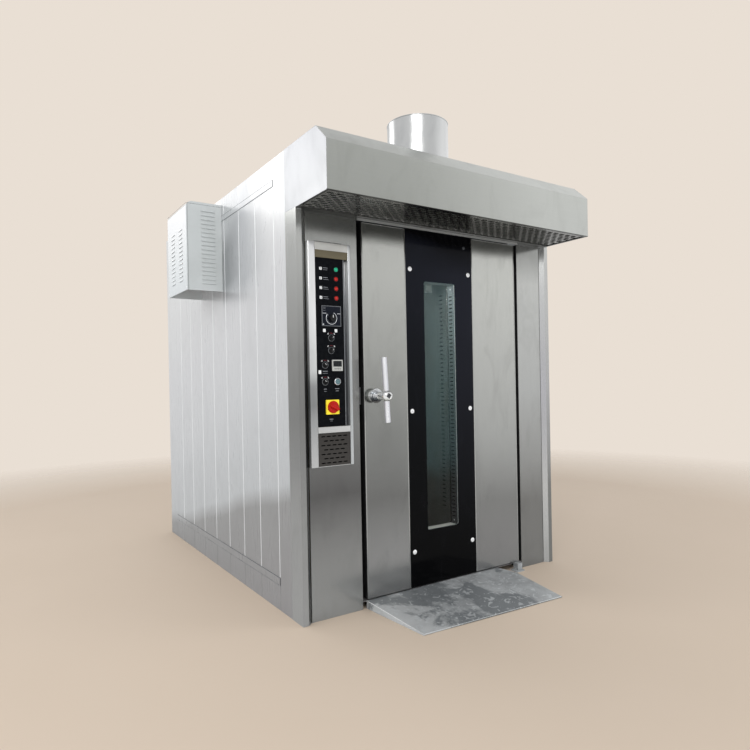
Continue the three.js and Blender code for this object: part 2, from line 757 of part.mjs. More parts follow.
// Gun burner: blower housing and motor outside the wall, blast tube through to the drum.
function burner() {
  const flangeFront = left - burnerFlange.thickness;
  const outside = flangeFront - burnerBody.length;
  const housing = rod('x', outside, flangeFront, [drumY, drumZ], burnerBody.radius, 20);
  const motor = rod('y', drumY - burnerBody.motorLength, drumY,
    [flangeFront - burnerBody.length / 2, drumZ], burnerBody.motorRadius, 16);
  const flange = rod('x', flangeFront - 2, left + plankSetback - gap, [drumY, drumZ],
    burnerFlange.radius, 20);
  const tube = rod('x', left - 1, drumLeft + blastTubeReach, [drumY, drumZ], blastTubeRadius, 16);
  return join(housing, motor, flange, tube);
}

// Burner cover: sheet box open below and towards the wall, with pressed louvres.
function burnerCover() {
  const wall = left + plankSetback - gap;
  const outer = left - cover.reach;
  const y0 = front + cover.front;
  const y1 = front + cover.back;
  const shape = new THREE.Shape();
  shape.moveTo(wall, coverLow);
  shape.lineTo(wall, coverHigh);
  shape.absarc(outer + coverRound, coverHigh - coverRound, coverRound, Math.PI / 2, Math.PI);
  shape.lineTo(outer, coverLow);
  const shell = extruded(shape, 'y', y0, y1, 6);
  const inner = new THREE.Shape();
  const innerOuter = outer + coverSheet;
  const round = coverRound - coverSheet;
  inner.moveTo(wall + 5, coverLow - 5);
  inner.lineTo(wall + 5, coverHigh - coverSheet);
  inner.absarc(innerOuter + round, coverHigh - coverSheet - round, round,
    Math.PI / 2, Math.PI);
  inner.lineTo(innerOuter, coverLow - 5);
  const hollow = extruded(inner, 'y', y0 + coverSheet, y1 - coverSheet, 6);
  const slots = [];
  const flaps = [];
  const flapProfile = (face, z) => [
    [face + coverSheet / 2, z + louvre.height],
    [face - louvre.projection, z],
    [face - louvre.projection + louvre.sheet, z - 1],
    [face + coverSheet / 2, z + louvre.height - 3],
  ];
  const firstFront = (coverLow + coverHigh - (louvreRowsFront - 1) * louvre.pitch) / 2;
  for (let i = 0; i < louvreRowsFront; i += 1) {
    const z = firstFront + i * louvre.pitch - louvre.height / 2;
    const x1 = wall - louvreFrontInset;
    const x0 = x1 - louvreFrontWidth;
    slots.push(block(x0, x1, y0 - 1, y0 + coverSheet + 1, z, z + louvre.slot));
    flaps.push(extruded(outline(flapProfile(y0, z)), 'x', x0, x1));
  }
  for (const middle of [-1, 1].map((i) => (y0 + y1 + i * louvreSidePitch) / 2)) {
    for (let i = 0; i < louvreRowsSide; i += 1) {
      const z = coverLow + louvreSideRise + i * louvre.pitch;
      const half = louvreSideWidth / 2;
      slots.push(block(outer - 1, outer + coverSheet + 1, middle - half, middle + half, z,
        z + louvre.slot));
      flaps.push(extruded(outline(flapProfile(outer, z)), 'y', middle - half, middle + half));
    }
  }
  return join(cut(shell, hollow, ...slots), ...flaps);
}

// ---------------------------------------------------------------- hood

// Side view of the hood's outer skin, shrunk by an inset for its hollow.
function hoodSection(inset, low, rear, step) {
  const rise = roofHeight - hoodFaceTop;
  const slope = Math.hypot(hoodSlopeRun, rise);
  const faceTop = hoodFaceTop - inset * (slope - rise) / hoodSlopeRun;
  const ridge = hoodRidge + inset * (slope - hoodSlopeRun) / rise;
  return outline([
    [hoodFront + inset, low],
    ...step,
    [rear, roofHeight - inset],
    [ridge, roofHeight - inset],
    [hoodFront + inset, faceTop],
  ]);
}

// Folded canopy with cheeks over the corner posts, open below, lipped for the grille.
function hoodShell() {
  const cheekBack = front + postSideDepth;
  const floorTop = hoodUnderside + hoodFloor;
  const outer = extruded(hoodSection(0, hoodUnderside, cheekBack, [[cheekBack, hoodUnderside]]),
    'x', left, right);
  const rear = block(coreLeft, coreRight, cheekBack - 1, hoodBack, hoodRearLow, roofHeight);
  const hollow = extruded(hoodSection(sheet, floorTop, hoodBack - sheet, [
    [cheekBack - sheet, floorTop],
    [cheekBack - sheet, hoodRearLow + sheet],
    [hoodBack - sheet, hoodRearLow + sheet],
  ]), 'x', coreLeft + sheet, coreRight - sheet);
  const mouth = block(left + hoodLip, right - hoodLip, hoodFront + hoodLip, front - hoodLip,
    hoodUnderside - 1, floorTop + 1);
  const seat = block(left + sheet, right - sheet, hoodFront + sheet, front - 2,
    hoodUnderside + sheet, floorTop + 1);
  const bore = rod('z', roofHeight - 2 * sheet, roofHeight + sheet, [collarX, collarY],
    collarPipeRadius - collarPipeWall, 32);
  return cut(join(outer, rear), hollow, mouth, seat, bore);
}

// Perforated grille lying on the hood's lip: rows of slots, every other row shifted by half
// a pitch.
function hoodGrille() {
  const x0 = left + sheet + gap;
  const x1 = right - sheet - gap;
  const y0 = hoodFront + sheet + gap;
  const y1 = front - 2 - gap;
  const low = hoodUnderside + sheet + gap;
  const high = low + grilleThickness;
  const { length, width } = grilleSlot;
  const rows = Math.floor((y1 - y0 - 2 * grilleMargin.y - width) / grillePitch.y) + 1;
  const perRow = Math.floor((x1 - x0 - 2 * grilleMargin.x - length) / grillePitch.x) + 1;
  const slots = [];
  for (let row = 0; row < rows; row += 1) {
    const y = (y0 + y1) / 2 + (row - (rows - 1) / 2) * grillePitch.y;
    const count = perRow - (row % 2);
    for (let i = 0; i < count; i += 1) {
      const x = (x0 + x1) / 2 + (i - (count - 1) / 2) * grillePitch.x;
      slots.push(block(x - length / 2, x + length / 2, y - width / 2, y + width / 2,
        low - 1, high + 1));
    }
  }
  return perforate(block(x0, x1, y0, y1, low, high), slots);
}

// Exhaust collar: a short pipe standing on the hood, rolled outwards at its rim.
function exhaustCollar() {
  const foot = roofHeight + gap;
  const top = roofHeight + collarPipeRise;
  const wallOut = collarPipeRadius;
  const wallIn = collarPipeRadius - collarPipeWall;
  const profile = [
    [wallIn, foot],
    [wallOut, foot],
    [wallOut, top - collarBead * 2],
    [wallOut + collarBead, top - collarBead],
    [wallOut, top],
    [wallIn, top],
    [wallIn, foot],
  ].map(([r, z]) => new THREE.Vector2(r, z));
  return new THREE.LatheGeometry(profile, 32).rotateX(Math.PI / 2).translate(collarX, collarY, 0);
}

// ---------------------------------------------------------------- control column

const rail = ({ from, width }) =>
  block(fromLeft(from), fromLeft(from + width), columnFace, columnBack, columnLow, columnHigh);

// Tray between the rails: top bar, cross bar and a slotted vent below it.
function controlBox() {
  const x0 = fromLeft(railLeft.from + railLeft.width) + gap;
  const x1 = fromLeft(railRight.from) - gap;
  const backPlate = block(x0, x1, columnBack - sheet, columnBack, columnLow, columnHigh);
  const topBar = block(x0, x1, columnFace + 1, columnBack, columnHigh - topBarHeight, columnHigh);
  const cross = block(x0, x1, columnFace + 1, columnBack, midBarLow, midBarHigh);
  const ventFront = plateFace - 4;
  const slots = [];
  const middle = (x0 + x1) / 2;
  const first = (columnLow + midBarLow - (ventRows - 1) * ventPitch.z) / 2;
  for (let row = 0; row < ventRows; row += 1) {
    const count = ventPerRow - (row % 2);
    for (let i = 0; i < count; i += 1) {
      const x = middle + (i - (count - 1) / 2) * ventPitch.x;
      const z = first + row * ventPitch.z;
      slots.push(block(x - ventSlot.length / 2, x + ventSlot.length / 2, ventFront - 1,
        ventFront + 3, z - ventSlot.height / 2, z + ventSlot.height / 2));
    }
  }
  const vent = perforate(block(x0, x1, ventFront, ventFront + 2, columnLow, midBarLow + 1),
    slots);
  const ventFoot = block(x0, x1, ventFront, columnBack, columnLow, columnLow + 3);
  const chamfer = extruded(outline([
    [plateFace + controlPlate.sheet, plateTop],
    [columnBack, plateTop],
    [columnBack, columnHigh - topBarHeight + 1],
    [plateFace - 4, columnHigh - topBarHeight + 1],
  ]), 'x', x0, x1);
  return join(backPlate, topBar, cross, vent, ventFoot, chamfer);
}

// Black plate on a spacer tray, carrying every lamp, switch and knob.
function controlPlatePiece() {
  const { from, to } = controlPlate;
  return block(fromLeft(from), fromLeft(to), plateFace, columnBack - sheet - gap,
    midBarHigh + 1.5, plateTop - gap);
}

function lampPiece(i) {
  const { x, drop, pitch, radius, depth } = lamp;
  const profile = [[0, 0], [radius + 2, 0], [radius + 2, 2], [radius, depth * 0.55],
    [radius * 0.72, depth * 0.88], [0, depth]];
  return turnedForward(profile, fromLeft(x), onPlate, belowTop(drop + i * pitch), 12);
}

function timerPlatePiece() {
  const { x, drop, width, height, depth } = timerPlate;
  const z = belowTop(drop);
  const plate = extruded(rectangle(fromLeft(x) - width / 2, z - height / 2,
    fromLeft(x) + width / 2, z + height / 2, 4), 'y', onPlate - depth, onPlate);
  const dial = turnedForward([[0, depth - 1], [timerDial.ring, depth - 1],
    [timerDial.ring, depth + 2], [0, depth + 2]], fromLeft(timerDial.x), onPlate,
  belowTop(timerDial.drop), 20);
  return join(plate, dial);
}

function displayPiece() {
  const { x, drop, width, height, depth, bezel } = display;
  const z = belowTop(drop);
  const frame = extruded(rectangle(fromLeft(x) - width / 2, z - height / 2,
    fromLeft(x) + width / 2, z + height / 2, 3), 'y', onPlate - depth, onPlate);
  const recess = block(fromLeft(x) - width / 2 + bezel, fromLeft(x) + width / 2 - bezel,
    onPlate - depth - 1, onPlate - depth + 1.5, z - height / 2 + bezel * 2.2,
    z + height / 2 - bezel);
  return cut(frame, recess);
}

// Pointer knob: a round skirt with a raised grip bar across it, turned clockwise by degrees.
function pointerKnob(x, base, drop, { radius, depth }, turn, sides) {
  const skirt = turnedForward([[0, 0], [radius, 0], [radius, depth * 0.35],
    [radius * 0.86, depth * 0.5], [0, depth * 0.5]], 0, base, 0, sides);
  const half = radius * 0.3;
  const grip = block(-half, half, base - depth, base - depth * 0.4, -radius * 0.8,
    radius * 0.98);
  return join(skirt, grip).rotateY(THREE.MathUtils.degToRad(turn))
    .translate(fromLeft(x), 0, belowTop(drop));
}

function switchPlatePiece() {
  const { x, drop, size, depth } = switchPlate;
  const half = size / 2;
  const plate = extruded(rectangle(-half, -half, half, half, 3), 'y', onPlate - depth, onPlate);
  return plate.translate(fromLeft(x), 0, belowTop(drop));
}

function mainSwitchKnob() {
  const base = onPlate - switchPlate.depth - gap;
  const { radius, depth, turn } = mainKnob;
  const skirt = turnedForward([[0, 0], [radius, 0], [radius, depth * 0.3],
    [radius * 0.93, depth * 0.42], [0, depth * 0.42]], 0, base, 0, 24);
  const grip = extruded(rectangle(-radius * 0.28, -radius * 0.9, radius * 0.28, radius * 0.9, 6),
    'y', base - depth, base - depth * 0.3);
  return join(skirt, grip).rotateY(THREE.MathUtils.degToRad(turn))
    .translate(fromLeft(switchPlate.x), 0, belowTop(switchPlate.drop));
}

// Button that stands off the plate by its travel, guided by the bezel's bore.
function pushButtonPiece() {
  const { x, drop, bore, depth } = pushButton;
  const radius = bore - pushClearance;
  return turnedForward([[0, 0], [radius, 0], [radius, depth * 0.75], [radius * 0.84, depth],
    [0, depth]], fromLeft(x), onPlate - pushTravel, belowTop(drop), 20);
}

function pushButtonBezel(plate) {
  const { x, drop, radius, bore } = pushButton;
  const ring = turnedForward([[bore, -1], [radius, -1], [radius, 4], [(radius + bore) / 2, 5.5],
    [bore, 5.5], [bore, -1]], fromLeft(x), plateFace, belowTop(drop), 20);
  return join(plate, ring);
}

// ---------------------------------------------------------------- door

// Folded front: two steel strips with a channel between them for the glass, closed at its
// ends, with a sleeve behind the window.
function doorLeaf() {
  const skinBack = doorBack - doorSheet - gap;
  const channel = doorFront + glassRecess + glassThickness + gap;
  const plan = folded([
    [doorLeft, skinBack],
    [doorLeft, doorFront],
    [glassLeft, doorFront],
    [glassLeft, channel],
    [glassRight, channel],
    [glassRight, doorFront],
    [doorRight, doorFront],
    [doorRight, skinBack],
  ], -doorSheet);
  const skin = extruded(plan, 'z', doorBottom, doorTop);
  const inset = weldInset;
  const cap = (z0) => block(doorLeft + inset, doorRight - inset, channel + inset,
    skinBack - inset, z0, z0 + doorSheet);
  const strips = (z0) => [[doorLeft, glassLeft], [glassRight, doorRight]].map(([x0, x1]) =>
    block(x0 + inset, x1 - inset, doorFront + inset, channel + 3 * inset, z0, z0 + doorSheet));
  const capLow = doorBottom + inset;
  const capHigh = doorTop - doorSheet - inset;
  const outerSleeve = extruded(rectangle(windowLeft - sleeveWall, windowBottom - sleeveWall,
    windowRight + sleeveWall, windowTop + sleeveWall, windowCorner + sleeveWall),
  'y', channel, skinBack);
  const bossHeight = 30;
  const boss = (z0, z1) => rod('z', z0, z1, [pivotX, pivotY], pivotPinRadius * 1.8, 16);
  const guide = block(doorLeft + 1, handleX + 40, latchY0 - 6, latchY1 + 6,
    handleHeight - boltBar.height / 2 - 6, handleHeight + boltBar.height / 2 + 6);
  const body = join(skin, cap(capLow), cap(capHigh), ...strips(capLow), ...strips(capHigh),
    outerSleeve, guide, boss(capLow + inset, capLow + bossHeight),
    boss(capHigh - bossHeight, capHigh + inset));
  const through = extruded(rectangle(windowLeft, windowBottom, windowRight, windowTop,
    windowCorner), 'y', channel - 5, skinBack + 5);
  const bolt = block(doorLeft - 1, handleX + 35, latchY0 - latchClearance,
    latchY1 + latchClearance, handleHeight - boltBar.height / 2 - latchClearance,
    handleHeight + boltBar.height / 2 + latchClearance);
  const pinHoles = [[doorBottom - 1, doorBottom + pivotPinRise + 1],
    [doorTop - pivotPinRise - 1, doorTop + 1]].map(([z0, z1]) =>
    rod('z', z0, z1, [pivotX, pivotY], pivotPinRadius + pivotClearance, 16));
  return cut(body, through, bolt, ...pinHoles);
}

// Black glass between the strips, cut out for the window, with six domed bolt heads.
function doorGlass() {
  const face = doorFront + glassRecess;
  const plate = rectangle(glassLeft + gap, doorBottom + 1, glassRight - gap, doorTop - 1);
  plate.holes.push(rectangle(windowLeft, windowBottom, windowRight, windowTop, windowCorner));
  const glass = extruded(plate, 'y', face, face + glassThickness);
  const bolts = [];
  for (const x of [glassLeft + boltInset, glassRight - boltInset]) {
    for (const z of boltHeights) {
      bolts.push(turnedForward([[0, -1], [boltRadius, -1], [boltRadius, 1.5],
        [boltRadius * 0.7, boltDome * 0.8], [0, boltDome]], x, face, z, 10));
    }
  }
  return join(glass, ...bolts);
}

function windowPane(y0) {
  return extruded(rectangle(windowLeft + gap, windowBottom + gap, windowRight - gap,
    windowTop - gap, windowCorner), 'y', y0, y0 + paneThickness);
}

function doorLiner() {
  const plate = rectangle(doorLeft, doorBottom, doorRight, doorTop);
  plate.holes.push(rectangle(windowLeft, windowBottom, windowRight, windowTop, windowCorner));
  return extruded(plate, 'y', doorBack - doorSheet, doorBack);
}

// Gasket on three sides of the door's back; the bottom edge sweeps clear of the floor.
function doorGasket() {
  const x0 = doorLeft + gasketInset;
  const x1 = doorRight - gasketInset;
  const top = doorTop - gasketInset + 10;
  const inner = outline([
    [x0, doorBottom],
    [x0 + gasketWidth, doorBottom],
    [x0 + gasketWidth, top - gasketWidth],
    [x1 - gasketWidth, top - gasketWidth],
    [x1 - gasketWidth, doorBottom],
    [x1, doorBottom],
    [x1, top],
    [x0, top],
  ]);
  return extruded(inner, 'y', doorBack + gap, landing - gap);
}

// Flange and collar that guide the handle's spindle.
function escutcheon() {
  const base = doorFront - gap;
  const body = turnedForward([[0, 0], [flangeRadius, 0], [flangeRadius, flangeThickness - 1.5],
    [flangeRadius - 1.5, flangeThickness], [collarRadius, flangeThickness],
    [collarRadius, collarLength - 4], [collarRadius - 5, collarLength], [0, collarLength]],
  handleX, base, handleHeight, 24);
  return cut(body, rod('y', base - collarLength - 1, base - collarLength + tenonLength + 1,
    [handleX, handleHeight], tenonRadius + latchClearance, 16));
}

// T handle: spindle, ball hub with a square socket, and the long bar through it.
function tHandle() {
  const base = doorFront - gap - collarLength - gap;
  const ballY = doorFront - hubReach;
  const reach = base - ballY;
  const neck = Math.sqrt(hubRadius ** 2 - spindleRadius ** 2);
  const profile = [[0, -tenonLength], [tenonRadius, -tenonLength], [tenonRadius, 0],
    [spindleRadius, 0], [spindleRadius, reach - neck]];
  for (const angle of [-25, 0, 30, 62]) {
    const turn = THREE.MathUtils.degToRad(angle);
    profile.push([hubRadius * Math.cos(turn), reach + hubRadius * Math.sin(turn)]);
  }
  profile.push([0, reach + hubRadius * 0.94]);
  const hub = turnedForward(profile, handleX, base, handleHeight, 20);
  const bar = new THREE.CylinderGeometry(barRadius, barRadius, barAbove + barBelow, 12)
    .rotateX(Math.PI / 2)
    .translate(0, 0, (barAbove - barBelow) / 2)
    .rotateY(-THREE.MathUtils.degToRad(barTilt))
    .translate(handleX, ballY, handleHeight);
  const socket = block(-socketRadius, socketRadius, ballY - hubRadius - 1,
    ballY - hubRadius + socketDepth, -socketRadius, socketRadius)
    .rotateY(Math.PI / 6).translate(handleX, 0, handleHeight);
  return cut(join(hub, bar), socket);
}

// Flat bolt inside the leaf; the handle throws it behind the keeper's lip.
function latchBolt() {
  return block(doorLeft + latchClearance, handleX + 10, latchY0, latchY1,
    handleHeight - boltBar.height / 2, handleHeight + boltBar.height / 2);
}

// Keeper in the door gap, screwed to the pillar's flange, with a lip in front of the bolt.
function latchKeeper() {
  const wall = left + pillarLeftWidth + gap;
  const lipBack = latchY0 - latchClearance;
  const lipFront = lipBack - keeper.lip;
  const plan = outline([
    [wall, lipFront],
    [wall + keeper.reach, lipFront],
    [wall + keeper.reach, lipBack],
    [wall + sheet, lipBack],
    [wall + sheet, latchY1 + keeper.lip],
    [wall, latchY1 + keeper.lip],
  ]);
  return extruded(plan, 'z', handleHeight - keeper.height / 2, handleHeight + keeper.height / 2);
}

// Pivot under the door's hinge edge, standing on the floor in front of the base frame.
function lowerHingeBracket() {
  const x0 = pivotX - 44;
  const x1 = pivotX + 16;
  const y0 = front - 30;
  const y1 = pillarFront + sheet;
  const top = doorBottom - 3;
  const foot = block(x0, x1, y0, y1, 0, 8);
  const post = block(pivotX - 20, x1, front - 12, y1, 7, top);
  const arm = block(pivotX - 20, x1, y1 - 1, pivotY + 16, floorHeight + gap, top);
  const pin = rod('z', top - 1, doorBottom + pivotPinRise, [pivotX, pivotY], pivotPinRadius, 16);
  return join(foot, post, arm, pin);
}

// Pivot above the door's hinge edge, hung from the head strip.
function upperHingeBracket() {
  const low = doorTop + 1;
  const high = headStripLow - gap;
  const plate = block(pivotX - 30, pivotX + 30, front + headStrip.front, landing - gap, low, high);
  const pin = rod('z', doorTop - pivotPinRise, low + 1, [pivotX, pivotY], pivotPinRadius, 16);
  return join(plate, pin);
}

// ---------------------------------------------------------------- ramp

// A slab between two four-cornered faces given as matching lower and upper corners.
function hull(lower, upper) {
  const corners = [...lower, ...upper];
  const count = lower.length;
  const index = [];
  for (let i = 1; i < count - 1; i += 1) {
    index.push(0, i + 1, i, count, count + i, count + i + 1);
  }
  for (let i = 0; i < count; i += 1) {
    const next = (i + 1) % count;
    index.push(i, next, count + next, i, count + next, count + i);
  }
  const geometry = new THREE.BufferGeometry();
  geometry.setAttribute('position', new THREE.Float32BufferAttribute(corners.flat(), 3));
  geometry.setIndex(index);
  return geometry;
}

// Sloping sheet with its right back corner cut away and a wedge flange down its left side.
function ramp() {
  const rear = pillarFront + sheet;
  const top = floorHeight;
  const frontLeft = [doorLeft + rampFront.left, front - rampFront.leftReach, rampNose];
  const frontRight = [doorRight - rampFront.right, front - rampFront.rightReach, rampNose];
  const backLeft = [doorLeft + rampBack.left, rear, top];
  const fall = (top - rampNose) / (rear - frontRight[1]);
  const cornerY = rear - rampCorner.depth;
  const backRight = [doorRight - rampBack.right - rampCorner.width, rear, top];
  const cornerRight = [doorRight - rampBack.right, cornerY, top - fall * rampCorner.depth];
  const upper = [frontLeft, frontRight, cornerRight, backRight, backLeft];
  const lower = upper.map(([x, y, z]) => [x, y, z - rampSheet]);
  const flangeUpper = [frontLeft, [frontLeft[0] + sheet, frontLeft[1], rampNose],
    [backLeft[0] + sheet, rear, top], backLeft].map(([x, y, z]) => [x, y, z - 1]);
  const flangeLower = flangeUpper.map(([x, y]) => [x, y, 0]);
  return join(hull(lower, upper), hull(flangeLower, flangeUpper));
}

// ---------------------------------------------------------------- assembly

add('base_frame', baseFrame(), paleSteel());
add('left_cladding', sideCladding(-1), paleSteel());
add('right_cladding', sideCladding(1), paleSteel());
add('rear_cladding', rearCladding(), paleSteel());
add('roof_panel', roofPanel(), paleSteel());
add('left_corner_post', cornerPost(-1), brushed());
add('right_corner_post', cornerPost(1), brushed());
add('left_pillar_panel', pillarPanel(-1), brushed());
add('right_pillar_panel', pillarPanel(1), brushed());
add('door_frame', doorFrame(), brushed());

add('chamber_left_wall', wallBlock(chamberLeft - chamberSheet, chamberLeft - gap,
  chamberFront, chamberBack - gap), liner());
add('chamber_right_wall', wallBlock(plenumBack, plenumBack + chamberSheet - gap,
  chamberFront, chamberBack - gap), liner());
add('chamber_rear_wall', chamberRearWall(), liner());
add('chamber_ceiling', chamberCeiling(), liner());
add('air_duct_panel', airDuctPanel(), liner());
add('left_insulation', wallBlock(chamberLeft - chamberSheet - gap - insulationThickness,
  chamberLeft - chamberSheet - gap, chamberFront, chamberBack), wool());
add('right_insulation', wallBlock(plenumBack + chamberSheet,
  plenumBack + chamberSheet + insulationThickness, chamberFront, chamberBack), wool());
add('ceiling_insulation', ceilingWool(), wool());
add('drive_gearmotor', driveGearmotor(), darkPaint());
add('rack_carrier', rackCarrier(), liner());
add('fan_wheel', fanWheel(), liner());
add('fan_motor', fanMotorUnit(), darkPaint());
add('heat_exchanger', heatExchanger(), liner());
add('burner', burner(), red());
add('burner_cover', burnerCover(), whitePaint());

add('hood_shell', hoodShell(), brushed());
add('hood_grille', hoodGrille(), grilleSteel());
add('exhaust_collar', exhaustCollar(), chrome());

add('left_rail', rail(railLeft), chrome());
add('right_rail', rail(railRight), chrome());
add('control_box', controlBox(), paleSteel());
add('control_plate', pushButtonBezel(controlPlatePiece()), blackPlastic());
for (let i = 0; i < lamp.count; i += 1) {
  add(`lamp_${i + 1}`, lampPiece(i), i ? red() : green());
}
add('timer_plate', timerPlatePiece(), blackPlastic());
add('timer_knob', pointerKnob(timerDial.x, onPlate - timerPlate.depth - 2 - gap,
  timerDial.drop, timerKnob, 0, 20), blackPlastic());
add('temperature_display', displayPiece(), greyPlastic());
selectors.forEach(({ x, drop, turn }, i) => add(`selector_knob_${i + 1}`,
  pointerKnob(x, onPlate, drop, selectorKnob, turn, 16), castBlack()));
add('push_button', pushButtonPiece(), greyPlastic());
add('switch_plate', switchPlatePiece(), yellow());
add('main_switch_knob', mainSwitchKnob(), red());

add('door_leaf', doorLeaf(), brushed());
add('door_glass', doorGlass(), blackGlass());
add('window_outer_pane', windowPane(doorFront + glassRecess + 1), clearGlass());
add('window_inner_pane', windowPane(doorBack - doorSheet - gap - paneThickness - 8),
  clearGlass());
add('door_liner', doorLiner(), liner());
add('door_gasket', doorGasket(), rubber());
add('escutcheon', escutcheon(), chrome());
add('t_handle', tHandle(), chrome());
add('latch_bolt', latchBolt(), chrome());
add('latch_keeper', latchKeeper(), paleSteel());
add('lower_hinge_bracket', lowerHingeBracket(), galvanised());
add('upper_hinge_bracket', upperHingeBracket(), galvanised());
add('ramp', ramp(), galvanised());

export default oven;
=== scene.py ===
import math

import bmesh
import bpy
import numpy as np
from mathutils import Matrix, Vector


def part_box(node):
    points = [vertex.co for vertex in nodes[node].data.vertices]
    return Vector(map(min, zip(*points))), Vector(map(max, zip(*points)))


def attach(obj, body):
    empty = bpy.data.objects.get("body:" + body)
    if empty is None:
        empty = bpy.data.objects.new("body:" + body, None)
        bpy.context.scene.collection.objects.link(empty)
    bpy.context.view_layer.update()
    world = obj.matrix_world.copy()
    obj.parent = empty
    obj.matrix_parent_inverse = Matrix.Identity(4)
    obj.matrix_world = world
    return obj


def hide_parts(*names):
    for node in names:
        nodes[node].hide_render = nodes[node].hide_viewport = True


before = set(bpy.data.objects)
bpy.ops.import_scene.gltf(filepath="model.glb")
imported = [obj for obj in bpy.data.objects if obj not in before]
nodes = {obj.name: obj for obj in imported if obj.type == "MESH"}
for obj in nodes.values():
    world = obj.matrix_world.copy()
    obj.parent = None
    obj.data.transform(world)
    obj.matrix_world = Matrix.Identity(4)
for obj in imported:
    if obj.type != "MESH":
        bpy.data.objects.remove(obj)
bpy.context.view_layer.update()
scene = bpy.context.scene
print("frame loaded:", len(nodes), "nodes")


# ---- camera, solved from the cabinet's edges
cameraView = {"place": (-2.1497, -3.7339, 1.1587), "yaw": 0.5844, "pitch": -0.0052, "roll": -0.0188,
    "lens": 28.94, "shiftX": -0.00068, "shiftY": 0.01335}


def makeCamera(view):
    yaw, pitch, roll = view["yaw"], view["pitch"], view["roll"]
    ahead = Vector((math.sin(yaw) * math.cos(pitch), math.cos(yaw) * math.cos(pitch), math.sin(pitch)))
    side = Vector((math.cos(yaw), -math.sin(yaw), 0))
    up = side.cross(ahead)
    across = side * math.cos(roll) + up * math.sin(roll)
    upright = up * math.cos(roll) - side * math.sin(roll)
    data = bpy.data.cameras.new("camera")
    data.sensor_width = 36
    data.lens = view["lens"]
    data.shift_x, data.shift_y = view["shiftX"], view["shiftY"]
    data.clip_start, data.clip_end = 0.05, 100
    camera = bpy.data.objects.new("camera", data)
    scene.collection.objects.link(camera)
    turn = Matrix((across, upright, -ahead)).transposed().to_4x4()
    camera.matrix_world = Matrix.Translation(view["place"]) @ turn
    scene.camera = camera


makeCamera(cameraView)


# ---- shader maths
def linear(code):  # "#rrggbb" as linear colour
    parts = [int(code[i:i + 2], 16) / 255 for i in (1, 3, 5)]
    return tuple(c / 12.92 if c <= 0.04045 else ((c + 0.055) / 1.055) ** 2.4 for c in parts) + (1,)


def plain(value):  # a colour code as linear colour, any other value as it is
    return linear(value) if isinstance(value, str) else value


class Wire:  # a node's output that Python's operators work on
    def __init__(self, paint, socket):
        self.paint, self.socket = paint, socket

    def maths(self, operation, *values):
        return self.paint.node("ShaderNodeMath", {"operation": operation}, dict(enumerate(values)))

    def __add__(self, other):
        return self.maths("ADD", self, other)

    def __radd__(self, other):
        return self.maths("ADD", other, self)

    def __sub__(self, other):
        return self.maths("SUBTRACT", self, other)

    def __rsub__(self, other):
        return self.maths("SUBTRACT", other, self)

    def __mul__(self, other):
        return self.maths("MULTIPLY", self, other)

    def __rmul__(self, other):
        return self.maths("MULTIPLY", other, self)

    def __abs__(self):
        return self.maths("ABSOLUTE", self)


class NodeBench:  # makes and joins the nodes of one tree
    def __init__(self, tree):
        self.tree = tree

    def node(self, kind, settings=None, inputs=None, output=0):
        made = self.tree.nodes.new(kind)
        for key, value in (settings or {}).items():
            if key == "stops":
                elements = made.color_ramp.elements
                while len(elements) < len(value):
                    elements.new(0.5)
                for element, (position, tint) in zip(elements, value):
                    element.position, element.color = position, tint
            else:
                setattr(made, key, value)
        for key, value in (inputs or {}).items():
            if isinstance(value, Wire):
                self.tree.links.new(value.socket, made.inputs[key])
            else:
                made.inputs[key].default_value = plain(value)
        return None if output is None else Wire(self, made.outputs[output])

    def spread(self, value, low, high, out0=0.0, out1=1.0):  # maps low..high to out0..out1, clamped
        return self.node("ShaderNodeMapRange", {"clamp": True}, {"Value": value, "From Min": low,
            "From Max": high, "To Min": out0, "To Max": out1})

    def mix(self, factor, first, second, blend="MIX"):
        return self.node("ShaderNodeMix", {"data_type": "RGBA", "blend_type": blend},
            {0: factor, 6: first, 7: second}, output=2)

    def axis(self, name):
        return self.node("ShaderNodeSeparateXYZ", None, {"Vector": self.place}, output=name)

    def ramp(self, value, tones, top=1.0):  # tones are (value, colour) up to top
        stops = [(at / top, linear(code)) for at, code in tones]
        return self.node("ShaderNodeValToRGB", {"stops": stops}, {"Fac": value * (1 / top)})


